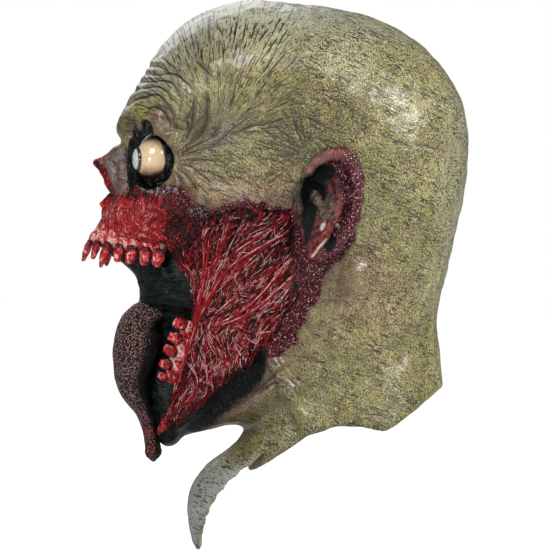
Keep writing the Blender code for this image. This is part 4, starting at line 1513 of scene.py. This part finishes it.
# How far behind the CAD tooth's middle the visible root starts, and how far the row is shifted up.
ROOT_DEPTH = {"upper": 9.0, "lower": 4.0}
ROW_LIFT = {"upper": 0.0, "lower": 4.0}


def arch_frame(jaw):
    """Each tooth's name, its place in the row and the way out of the arch there."""
    order, centres = tooth_places(jaw)
    bite = np.array(BITE[jaw]) / np.linalg.norm(BITE[jaw])
    centres = centres + (0, 0, ROW_LIFT[jaw])
    middle = centres.mean(axis=0)
    outwards = []
    for k, centre in enumerate(centres):
        before, after = centres[max(k - 1, 0)], centres[min(k + 1, len(order) - 1)]
        beside = after - before
        beside -= bite * (beside @ bite)
        outward = np.cross(beside / np.linalg.norm(beside), bite)
        outwards.append(outward if outward @ (centre - middle) > 0 else -outward)
    return order, centres, np.array(outwards)


def make_teeth(jaw, finish):
    """Irregular teeth on the CAD teeth's places, with a narrowed neck and a worn biting edge."""
    order, centres, outwards = arch_frame(jaw)
    bite = np.array(BITE[jaw]) / np.linalg.norm(BITE[jaw])
    middle = centres.mean(axis=0)
    forms = TOOTH_FORMS[jaw]
    forms = forms + forms[::-1]
    rings, sides = 18, 20
    for name, centre, outward, (width, long, point) in zip(order, centres, outwards, forms):
        beside = np.cross(bite, outward)
        forward = max(0.0, -(centre - middle)[1] / 40)
        lean = 0.10 + 0.22 * forward if jaw == "upper" else 0.04
        axis = bite + beside * random.uniform(-0.1, 0.1) + outward * lean
        axis /= np.linalg.norm(axis)
        through = width * 0.72
        skew = random.uniform(-0.8, 0.8)
        points, root = [], []
        base = centre - bite * ROOT_DEPTH[jaw] + outward * 2.2
        for i in range(rings + 1):
            s = i / rings
            wide = 0.78 + 0.22 * ease(s, 0.0, 0.42) - (1 - point) * ease(s, 0.5, 1.05)
            thick = (0.62 + 0.38 * ease(s, 0.0, 0.35)) * (1 - 0.60 * ease(s, 0.5, 1.0))
            # The section closes to a round tip and a round root.
            tip = math.sqrt(max(1 - max((s - 0.92) / 0.08, 0) ** 2, 0.0))
            close = tip * math.sqrt(ease(s, -0.02, 0.09))
            for j in range(sides):
                a = 2 * math.pi * j / sides
                square = (abs(math.cos(a)) ** 3 + abs(math.sin(a)) ** 3) ** (-1 / 3)
                edge = beside * (0.5 * width * wide * close * math.cos(a) * square + skew * s * s)
                deep = outward * 0.5 * through * thick * close * math.sin(a) * square
                points.append(base + axis * long * s + edge + deep)
                root.append(1 - ease(s, 0.0, 0.5))
        points = np.array(points)
        points += 0.28 * np.stack([rough(points, 3.0, 2, 60 + n) for n in range(3)], 1)
        make_object(name.replace("_tooth", "_fang"), points, ring_quads(rings + 1, sides), finish,
                    "stained_tooth", [name], attributes={"root": root})


# The gum's reach behind its edge, and how far it leans inwards over that reach.
GUM_REACH = {"upper": (15.0, 7.5), "lower": (8.0, -1.0)}


def make_gum(jaw, finish):
    """The jaw's bare gum: a root's ridge over each tooth, with a socket cut round the tooth's neck."""
    _, centres, outwards = arch_frame(jaw)
    bite = np.array(BITE[jaw]) / np.linalg.norm(BITE[jaw])
    edge = centres - bite * (ROOT_DEPTH[jaw] - 1.8)
    back, inwards = GUM_REACH[jaw]
    low, high = edge.min(axis=0) - 24, edge.max(axis=0) + 24
    clay = Clay(*(spaced((a, 0.9), (b, None)) for a, b in zip(low, high)))
    clay.add(*chain(list(edge - bite * 1.5 - outwards * 1.4), [4.2] * len(edge)), reach=1)
    for place, outward in zip(edge, outwards):
        top = place - bite * back - outward * inwards
        clay.add(rod(place + outward * 0.2, top, 3.7, 4.4), reach=2.4)
    for place, outward in zip(edge, outwards):
        neck = place + bite * 2.6 + outward * 2.2
        clay.cut(rod(neck, neck + bite * 9 + outward * 1.5, 3.6, 4.2), reach=0.6)
    points, quads = surface_net(clay)
    normals = vertex_normals(points, quads)
    height = (points - edge.mean(axis=0)) @ bite
    necks = edge + bite * 3.0 + outwards * 2.4
    near = np.min(np.linalg.norm(points[:, None] - necks[None], axis=2), axis=1)
    attributes = {
        "redness": 0.80 - 0.26 * ease(height, -3.0, -13.0) + 0.15 * rough(points, 9, 2, 70),
        "dark": ease(near, 5.0, 4.1),
    }
    points = points + normals * (0.55 * rough(points, 4, 3, 71))[:, None]
    make_object(jaw + "_bloody_gum", points, quads, finish, "blood_latex", [jaw + "_gum"],
                attributes=attributes)


# ---------------------------------------------------------------- mouth lining and tongue


# The lining's rows: height, foremost Y at the middle, Y and X where it meets the cheek or the gum.
LINING_ROWS = [
    (-149, -139, -92, 24),
    (-157, -141, -92, 26),
    (-164, -134, -88, 28),
    (-170, -125, -84, 31),
    (-176, -118.5, -80, 35),
    (-184, -115, -75, 39),
    (-191, -113.5, -70, 40),
    (-198, -114, -66, 39),
    (-204, -105, -64, 34),
    (-214, -100, -66, 27),
    (-230, -100, -72, 23),
    (-240, -103.5, -76, 21),
    (-254, -108.5, -82, 19),
    (-264, -109.5, -86, 17),
    (-275, -106.5, -89, 15),
    (-288, -103.5, -92, 13),
    (-298, -100.5, -94, 11),
]
LINING_THICKNESS = 1.2


def make_lining(finish):
    """The black membrane between the arches, bowed out in the middle and pleated from side to side."""
    table = np.array(LINING_ROWS, float)[::-1]
    rows, columns = int(110 / COARSE), int(72 / COARSE)
    heights = np.linspace(table[-1, 0], table[0, 0], rows + 1)
    front, rear, wide = (curve_through(table[:, 0], table[:, k], heights) for k in (1, 2, 3))
    across = np.linspace(-1, 1, columns + 1)
    x = wide[:, None] * across
    y = front[:, None] + (rear - front)[:, None] * np.abs(across) ** 2.2
    points = np.stack([x, y, heights[:, None] + 0 * x], -1).reshape(-1, 3)
    corner = np.arange(rows)[:, None] * (columns + 1) + np.arange(columns)
    faces = np.stack([corner, corner + columns + 1, corner + columns + 2, corner + 1], -1).reshape(-1, 4)
    pleats = rough(points * (1.0, 0.4, 0.45), 7, 3, 80)
    points[:, 1] += 1.3 * pleats
    lining = make_object("black_mouth_lining", points, faces, finish, "black_latex", ["mouth_lining"])
    wall = lining.modifiers.new("wall", "SOLIDIFY")
    wall.thickness = LINING_THICKNESS * MM


# The tongue's sections from root to tip: (Y, Z) of the middle, half width, half thickness.
TONGUE_SECTIONS = [
    (-88, -204, 11, 5),
    (-97, -203.5, 15, 7.5),
    (-106, -206, 19, 12.2),
    (-111.8, -212.5, 22.5, 16.2),
    (-115.2, -224, 24.5, 18),
    (-117.8, -237, 25, 16.8),
    (-119.6, -250, 23.5, 13.2),
    (-117.6, -262, 20, 10),
    (-111, -275, 16, 6.8),
    (-106.6, -288, 12, 5.8),
    (-104.8, -300, 9.5, 5.8),
    (-104.2, -308, 7, 5.0),
    (-103.8, -311.8, 1.2, 1.0),
]
GRAIN_SIZE = 1.55


def make_tongue(finish):
    """A thick tongue covered in rounded grains, in one piece that bends at its root."""
    table = np.array(TONGUE_SECTIONS, float)
    places = np.concatenate([[0], np.cumsum(np.linalg.norm(np.diff(table[:, :2], axis=0), axis=1))])
    rows, sides = int(200 / COARSE), int(190 / COARSE)
    at = np.linspace(0, places[-1], rows + 1)
    y, z, half, thick = (curve_through(places, table[:, k], at) for k in range(4))
    middle = np.stack([np.zeros(rows + 1), y, z], 1)
    run = np.gradient(middle, axis=0)
    run /= np.linalg.norm(run, axis=1, keepdims=True)
    over = np.cross(run, (1.0, 0.0, 0.0))
    turns = 2 * np.pi * np.arange(sides) / sides
    dip = 0.12 * np.exp(-((turns - np.pi / 2) ** 2) / 0.08)
    side = np.cos(turns)[None, :, None] * np.array([1.0, 0, 0]) * half[:, None, None]
    lift = (np.sin(turns) - dip)[None, :, None] * over[:, None] * thick[:, None, None]
    points = (middle[:, None] + side + lift).reshape(-1, 3)
    faces = ring_quads(rows + 1, sides)
    normals = vertex_normals(points, faces)
    grain = grains(points, GRAIN_SIZE)
    red = np.repeat(ease(z, -245, -300), sides)
    shade = np.tile(ease(np.sin(turns), -0.10, -0.55), rows + 1)
    points = points + normals * (0.75 * grain + 0.5 * lumps(points, 9, 91) - 0.4)[:, None]
    tongue = make_object("granular_tongue", points, faces, finish, "tongue_latex",
                         ["tongue_root", "tongue_blade"], body=None, attributes={"red": red, "shade": shade})
    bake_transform(tongue)


def grains(points, size):
    """Rounded bumps from 0 to 1, one round each random place, about size apart."""
    cell = points / size + 200.0
    base = np.floor(cell).astype(int)
    best = np.full(len(points), 9.0)
    count = 64
    jitter = np.random.default_rng(77).uniform(0.15, 0.85, (count, count, count, 3))
    for offset in np.ndindex(3, 3, 3):
        corner = base + np.array(offset) - 1
        i, j, k = (corner[:, axis] % count for axis in range(3))
        seed = corner + jitter[i, j, k]
        best = np.minimum(best, np.sum((cell - seed) ** 2, axis=1))
    return np.sqrt(np.clip(1 - best / 0.62, 0, 1))


# ---------------------------------------------------------------- cheek muscle

# The torn cheek's flesh, round its outline.
MUSCLE_OUTLINE = [
    (-86, -163), (-74, -152), (-66, -134), (-50, -129), (-30, -127), (-8, -129), (-2, -140),
    (-3, -170), (2, -190), (-16, -221), (-37, -243), (-60, -263), (-82, -283), (-93, -292),
    (-95, -280), (-90, -262), (-82, -238), (-74, -212), (-75, -199), (-80, -186),
]
STRAND_STEP = 1.3
STRAND_COUNT = 2400
# Strands' tones, from black-red to pale, and how common each is.
STRAND_TONES = ([0.04, 0.24, 0.45, 0.62, 0.85], [0.34, 0.26, 0.22, 0.14, 0.04])
# The thick cords, each a (Y, Z) path with its greatest radius and tone.
CORDS = [
    ([(-64, -146), (-65.5, -179), (-69, -193), (-74.5, -218), (-80, -238), (-87, -262)], 2.3, 0.75),
    ([(-9, -146), (-37, -163), (-50, -173), (-65, -197), (-76, -223), (-83, -246)], 2.3, 0.7),
    ([(-4, -163), (-23, -187), (-47, -207), (-61, -214)], 2.0, 0.72),
    ([(-3, -176), (-15, -188), (-35, -204), (-58, -214)], 1.7, 0.62),
    ([(-64, -214), (-60, -226), (-55, -240), (-58, -248)], 1.5, 0.6),
    ([(-82, -163), (-75, -177), (-70, -190)], 1.7, 0.6),
    ([(-84, -176), (-77, -188), (-72, -200)], 1.5, 0.55),
    ([(-12, -137), (-30, -150), (-48, -163), (-62, -186)], 1.6, 0.6),
    ([(-48, -133), (-52, -150), (-60, -172), (-66, -196)], 1.7, 0.65),
    ([(-34, -132), (-44, -150), (-54, -168), (-66, -200)], 1.4, 0.5),
    ([(-79, -236), (-72, -248), (-74, -262), (-82, -272)], 1.5, 0.6),
    ([(-70, -232), (-64, -246), (-66, -258), (-74, -268)], 1.3, 0.5),
]


def cheek_height(head):
    """The head's outermost X at each (Y, Z), as a table."""
    solid = head.value < 0
    x_axis = head.axes[0]
    last = len(x_axis) - 1 - np.argmax(solid[::-1], axis=0)
    last = np.clip(last, 0, len(x_axis) - 2)
    i, j = np.indices(last.shape)
    va, vb = head.value[last, i, j], head.value[last + 1, i, j]
    drop = va - vb
    t = np.clip(va / np.where(drop == 0, 1.0, drop), 0, 1)
    height = x_axis[last] + t * (x_axis[last + 1] - x_axis[last])
    height[~solid.any(axis=0)] = 0
    return height


class CheekMap:
    """Places points on the outside of the cheek from their (Y, Z)."""

    def __init__(self, clay):
        self.ys, self.zs = clay.axes[1], clay.axes[2]
        self.height = cheek_height(clay)
        slope_y, slope_z = np.gradient(self.height, self.ys, self.zs)
        self.slope_y, self.slope_z = slope_y, slope_z

    def read(self, table, y, z):
        i = np.clip(np.searchsorted(self.ys, y) - 1, 0, len(self.ys) - 2)
        j = np.clip(np.searchsorted(self.zs, z) - 1, 0, len(self.zs) - 2)
        s = np.clip((y - self.ys[i]) / (self.ys[i + 1] - self.ys[i]), 0, 1)
        t = np.clip((z - self.zs[j]) / (self.zs[j + 1] - self.zs[j]), 0, 1)
        low = table[i, j] * (1 - s) + table[i + 1, j] * s
        high = table[i, j + 1] * (1 - s) + table[i + 1, j + 1] * s
        return low * (1 - t) + high * t

    def lift(self, y, z, out):
        """Points at (y, z) raised out along the surface's normal."""
        x = self.read(self.height, y, z)
        gy, gz = self.read(self.slope_y, y, z), self.read(self.slope_z, y, z)
        normal = np.stack([np.ones_like(x), -gy, -gz], 1)
        normal /= np.linalg.norm(normal, axis=1, keepdims=True)
        return np.stack([x, y, z], 1) + normal * np.asarray(out)[:, None]


def strand_path(path):
    """A smooth line through a cord's few points, at even steps."""
    path = np.array(path, float)
    places = np.concatenate([[0], np.cumsum(np.linalg.norm(np.diff(path, axis=0), axis=1))])
    at = np.linspace(0, places[-1], max(int(places[-1] / STRAND_STEP), 4))
    return np.stack([curve_through(places, path[:, k], at) for k in range(2)], 1)


def muscle_flow(point):
    """The direction that fibres run in at a (Y, Z) place: that of the cords near it."""
    total = np.zeros(2)
    for path, _, _ in CORDS:
        path = np.array(path, float)
        middles, runs = (path[1:] + path[:-1]) / 2, np.diff(path, axis=0)
        runs = runs / np.linalg.norm(runs, axis=1, keepdims=True)
        weights = 1 / (np.sum((middles - point) ** 2, axis=1) + 40) ** 1.5
        total += (weights[:, None] * runs).sum(axis=0)
    return total / max(np.linalg.norm(total), 1e-9)


def strand_tone_painted_light(points, path, tone):
    """A strand's tone round its skin, with painted shade underneath and a painted highlight along its crest
    on the side towards the lamps.
    """
    offset = points - np.repeat(path, len(points) // len(path), axis=0)
    offset /= np.maximum(np.linalg.norm(offset, axis=1, keepdims=True), 1e-6)
    crest = offset @ np.array([0.72, -0.35, 0.60])
    return tone - 0.20 * ease(crest, 0.2, -0.5) + 0.10 * ease(crest, 0.45, 0.95)


def painted_highlight_lines(heap, path, radius, thick=0.25):
    """Thin pale lines of painted highlight along the top of a strand, in a few lengths with gaps between."""
    side = np.array([0.84, random.uniform(-0.4, 0.1), random.uniform(0.3, 0.6)])
    crest = path + side / np.linalg.norm(side) * radius[:, None]
    start = random.integers(0, 6)
    while start < len(path) - 4:
        length = random.integers(4, 16)
        line = crest[start:start + length]
        if len(line) > 3:
            thin = thick * random.uniform(0.65, 1.35) * np.sin(np.linspace(0.3, math.pi - 0.3, len(line)))
            heap.add(*tube(line, thin, 4), random.choice([0.74, 0.92, 1.2]))
        start += length + random.integers(1, 9)


def cheek_slab():
    """The slab of flesh over the left cheek, its strands' tone, and the cheek's own map."""
    xs = spaced((8, 1.1), (99, None))
    ys = spaced((-104, 1.1), (12, None))
    zs = spaced((-300, 1.1), (-118, None))
    clay = Clay(xs, ys, zs)
    head_base(clay)
    head_features(clay)
    y2, z2 = np.broadcast_arrays(ys[:, None], zs[None, :])
    edge = inside_outline(y2, z2, MUSCLE_OUTLINE)
    swell = 3.2 * ease(edge, 0, -7)
    flesh = blend_max(clay.value - swell[None], edge[None] + 0 * clay.value, 3.0)
    flesh = np.maximum(flesh, -clay.value - 5.0)
    clay.value = flesh.astype(np.float32)
    points, quads = surface_net(clay)
    normals = vertex_normals(points, quads)
    ridges = rough(points * (1.0, 1.0, 0.35) + rough(points, 14, 2, 6)[:, None] * 3, 3.0, 3, 11)
    outer = ease(normals[:, 0], 0.0, 0.4)
    shadow = trail(points[:, 1:], JAW_EDGE, 16, 6)
    tone = 0.06 + 0.35 * rough(points, 9, 3, 14)
    # Painted light and shade: the tone is raised on the ridges' tops and lowered in their grooves.
    tone += 0.3 * ease(ridges, 0.0, 0.8) - 0.3 * ease(-ridges, 0.0, 0.5)
    tone = tone * (1 - shadow) - 0.1 * shadow
    points = points + normals * (outer * 1.1 * ridges)[:, None]
    return points, quads, tone, CheekMap(clay)


def add_cords(heap, cheek):
    """Two twisted strands along each cord, with painted highlight lines on both."""
    for path, radius, tone in CORDS:
        for offset in (-0.6, 0.5):
            line = strand_path(path)
            sway = offset * radius + 1.2 * np.sin(np.linspace(0, 9, len(line)) + 5 * offset)
            line = line + sway[:, None] * np.array([[0.8, 0.3]])
            taper = np.sqrt(np.clip(np.sin(np.linspace(0.12, math.pi - 0.12, len(line))), 0, 1))
            placed = cheek.lift(line[:, 0], line[:, 1], 0.35 + radius * 0.5 * taper)
            thickness = radius * 0.72 * taper
            shape, quads = tube(placed, thickness, 8)
            heap.add(shape, quads, strand_tone_painted_light(shape, placed, tone - 0.2 + random.uniform(-0.08, 0.1)))
            for _ in range(2):
                painted_highlight_lines(heap, placed, thickness, 0.36)


def strand_seeds():
    """Random places in the muscle for the loose strands, fewer of them near the jaw."""
    low, high = np.array(MUSCLE_OUTLINE).min(0), np.array(MUSCLE_OUTLINE).max(0)
    seeds = random.uniform(low, high, (STRAND_COUNT * 3, 2))
    inside = inside_outline(seeds[:, 0], seeds[:, 1], MUSCLE_OUTLINE) < -2
    jaw_gap = distance_to_path(seeds, JAW_EDGE)[0]
    return seeds[inside & (jaw_gap > random.uniform(2, 14, len(seeds)))][:STRAND_COUNT]


def add_loose_strands(heap, cheek):
    """Thin strands that follow the cords' flow, a few of them astray."""
    for seed in strand_seeds():
        length = random.uniform(9, 40)
        swing = random.normal(0, 0.20) if random.uniform() < 0.88 else random.uniform(-1.3, 1.3)
        curl = random.normal(0, 0.010)
        place, line = seed.copy(), []
        for k in range(int(length / STRAND_STEP)):
            flow = muscle_flow(place)
            angle = math.atan2(flow[1], flow[0]) + swing + curl * k * 3
            line.append(place.copy())
            place = place + STRAND_STEP * np.array([math.cos(angle), math.sin(angle)])
        line = np.array(line)
        line = line[inside_outline(line[:, 0], line[:, 1], MUSCLE_OUTLINE) < -0.5]
        if len(line) < 5:
            continue
        radius = random.uniform(0.28, 0.8)
        taper = np.sqrt(np.clip(np.sin(np.linspace(0.1, math.pi - 0.1, len(line))), 0, 1))
        wave = 0.5 * np.sin(np.linspace(0, length / 4, len(line)) + seed[0])
        height = 0.2 + random.uniform(0.2, 1.2) * taper + 0.3 * wave
        placed = cheek.lift(line[:, 0], line[:, 1], height)
        tone = random.choice(STRAND_TONES[0], p=STRAND_TONES[1])
        shape, quads = tube(placed, radius * taper, 5)
        heap.add(shape, quads, strand_tone_painted_light(shape, placed, tone))
        if random.uniform() < 0.5:
            painted_highlight_lines(heap, placed, radius * taper)


def make_muscles(finish, strand_finish):
    """On each cheek: a slab of flesh with a fibrous surface, and cords and strands drawn over it."""
    points, quads, tone, cheek = cheek_slab()
    heap = Heap()
    add_cords(heap, cheek)
    add_loose_strands(heap, cheek)
    strands, strand_quads, tones = heap.arrays()
    for side, word in SIDES:
        make_object(word + "_cheek_flesh", *mirrored(points, quads, side), finish, "blood_latex",
                    [word + "_cheek_muscle"], attributes={"tone": tone})
        make_object(word + "_cheek_strands", *mirrored(strands, strand_quads, side), strand_finish,
                    "blood_latex", attributes={"tone": tones})


# ---------------------------------------------------------------- pads


PAD_ROUNDING = 1.5


def make_pads(finish):
    """Foam pads: the CAD pads with softened edges."""
    for name in ("crown_pad", "brow_pad", "nape_pad"):
        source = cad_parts[name]
        mesh = source.data.copy()
        pad = bpy.data.objects.new(name + "_foam", mesh)
        bpy.context.scene.collection.objects.link(pad)
        mesh.materials.clear()
        mesh.materials.append(finish)
        soften = pad.modifiers.new("soften", "BEVEL")
        soften.width = PAD_ROUNDING * MM
        soften.segments = 3
        soften.limit_method = "ANGLE"
        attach(pad, "head")
        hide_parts(name)


# ---------------------------------------------------------------- stage


# The stage is in metres and degrees. Each lamp's name, place from the mask's middle, size and watts.
LAMPS = (
    ("key", (1.3, -1.0, 1.4), 0.8, 19),
    ("back_strip", (0.7, 1.4, 0.8), 0.5, 25),
    ("spark", (1.5, 0.55, 1.1), 0.12, 12),
    ("spark_front", (1.3, -1.2, 0.1), 0.12, 7),
    ("fill", (1.2, -1.3, -0.5), 0.8, 3),
    ("far_side", (-1.5, -0.4, 0.9), 1.0, 5),
)
FLOOR_REACH = 6.0
CAMERA_DISTANCE = 5.0
CAMERA_SPAN = 0.396
CAMERA_TILT = 1.5


def make_stage():
    """A pale floor, a white backdrop, soft lamps, and a camera square to the mask's left side."""
    low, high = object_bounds()
    centre = (Vector(low) + Vector(high)) / 2
    floor_mesh = bpy.data.meshes.new("floor")
    drop = low[2] - 1.0 * MM
    corners = [(x * FLOOR_REACH, y * FLOOR_REACH, drop) for x, y in ((-1, -1), (1, -1), (1, 1), (-1, 1))]
    floor_mesh.from_pydata(corners, [], [(0, 1, 2, 3)])
    floor = bpy.data.objects.new("floor", floor_mesh)
    bpy.context.scene.collection.objects.link(floor)
    paint = Paint("pale_floor")
    seen = camera_only(paint.tree, 0.10, 0.93)
    floor_mesh.materials.append(paint.done(Base_Color=grey(0.5), Roughness=0.9,
                                           Emission_Color=(1, 1, 1), Emission_Strength=seen))

    make_world()
    for name, offset, size, watts in LAMPS:
        lamp(name, centre + Vector(offset), centre, size, watts)

    camera_data = bpy.data.cameras.new("camera")
    camera_data.lens = camera_data.sensor_width * CAMERA_DISTANCE / CAMERA_SPAN
    camera = bpy.data.objects.new("camera", camera_data)
    bpy.context.scene.collection.objects.link(camera)
    tilt = math.radians(CAMERA_TILT)
    camera.location = centre + CAMERA_DISTANCE * Vector((math.cos(tilt), 0, math.sin(tilt)))
    camera.rotation_euler = (centre - camera.location).to_track_quat("-Z", "Y").to_euler()
    bpy.context.scene.camera = camera
    bpy.context.scene.view_settings.view_transform = "Standard"


def camera_only(tree, otherwise, seen):
    """A strength that is seen by the camera at one value, and lights the scene at another."""
    path = tree.nodes.new("ShaderNodeLightPath")
    level = tree.nodes.new("ShaderNodeMapRange")
    level.inputs["To Min"].default_value = otherwise
    level.inputs["To Max"].default_value = seen
    tree.links.new(path.outputs["Is Camera Ray"], level.inputs["Value"])
    return level.outputs[0]


def make_world():
    """A white backdrop to the camera, and a dimmer even light on the object."""
    world = bpy.data.worlds.new("studio")
    world.use_nodes = True
    nodes, links = world.node_tree.nodes, world.node_tree.links
    background = nodes["Background"]
    background.inputs["Color"].default_value = (1, 1, 1, 1)
    links.new(camera_only(world.node_tree, 0.12, 1.0), background.inputs["Strength"])
    bpy.context.scene.world = world


def lamp(name, place, target, size, watts):
    """A square area lamp aimed at a target."""
    data = bpy.data.lights.new(name, "AREA")
    data.size = size
    data.energy = watts
    obj = bpy.data.objects.new(name, data)
    bpy.context.scene.collection.objects.link(obj)
    obj.location = place
    obj.rotation_euler = (target - place).to_track_quat("-Z", "Y").to_euler()


def build():
    """Every piece in turn. The order matters, because they share one run of random draws."""
    make_head(skin_paint())
    eye_finishes = eyeball_paint(), lens_paint(), lid_paint()
    for side, word in SIDES:
        make_eye(side, word, *eye_finishes)
    make_ears(ear_paint())
    gum, tooth = gum_paint(), tooth_paint()
    for jaw in ("upper", "lower"):
        make_gum(jaw, gum)
        make_teeth(jaw, tooth)
    make_lining(black_paint())
    make_tongue(tongue_paint())
    make_muscles(flesh_paint("cheek_flesh", 1.2), flesh_paint("cheek_strands", 0.7))
    make_pads(foam_paint())
    make_stage()


build()
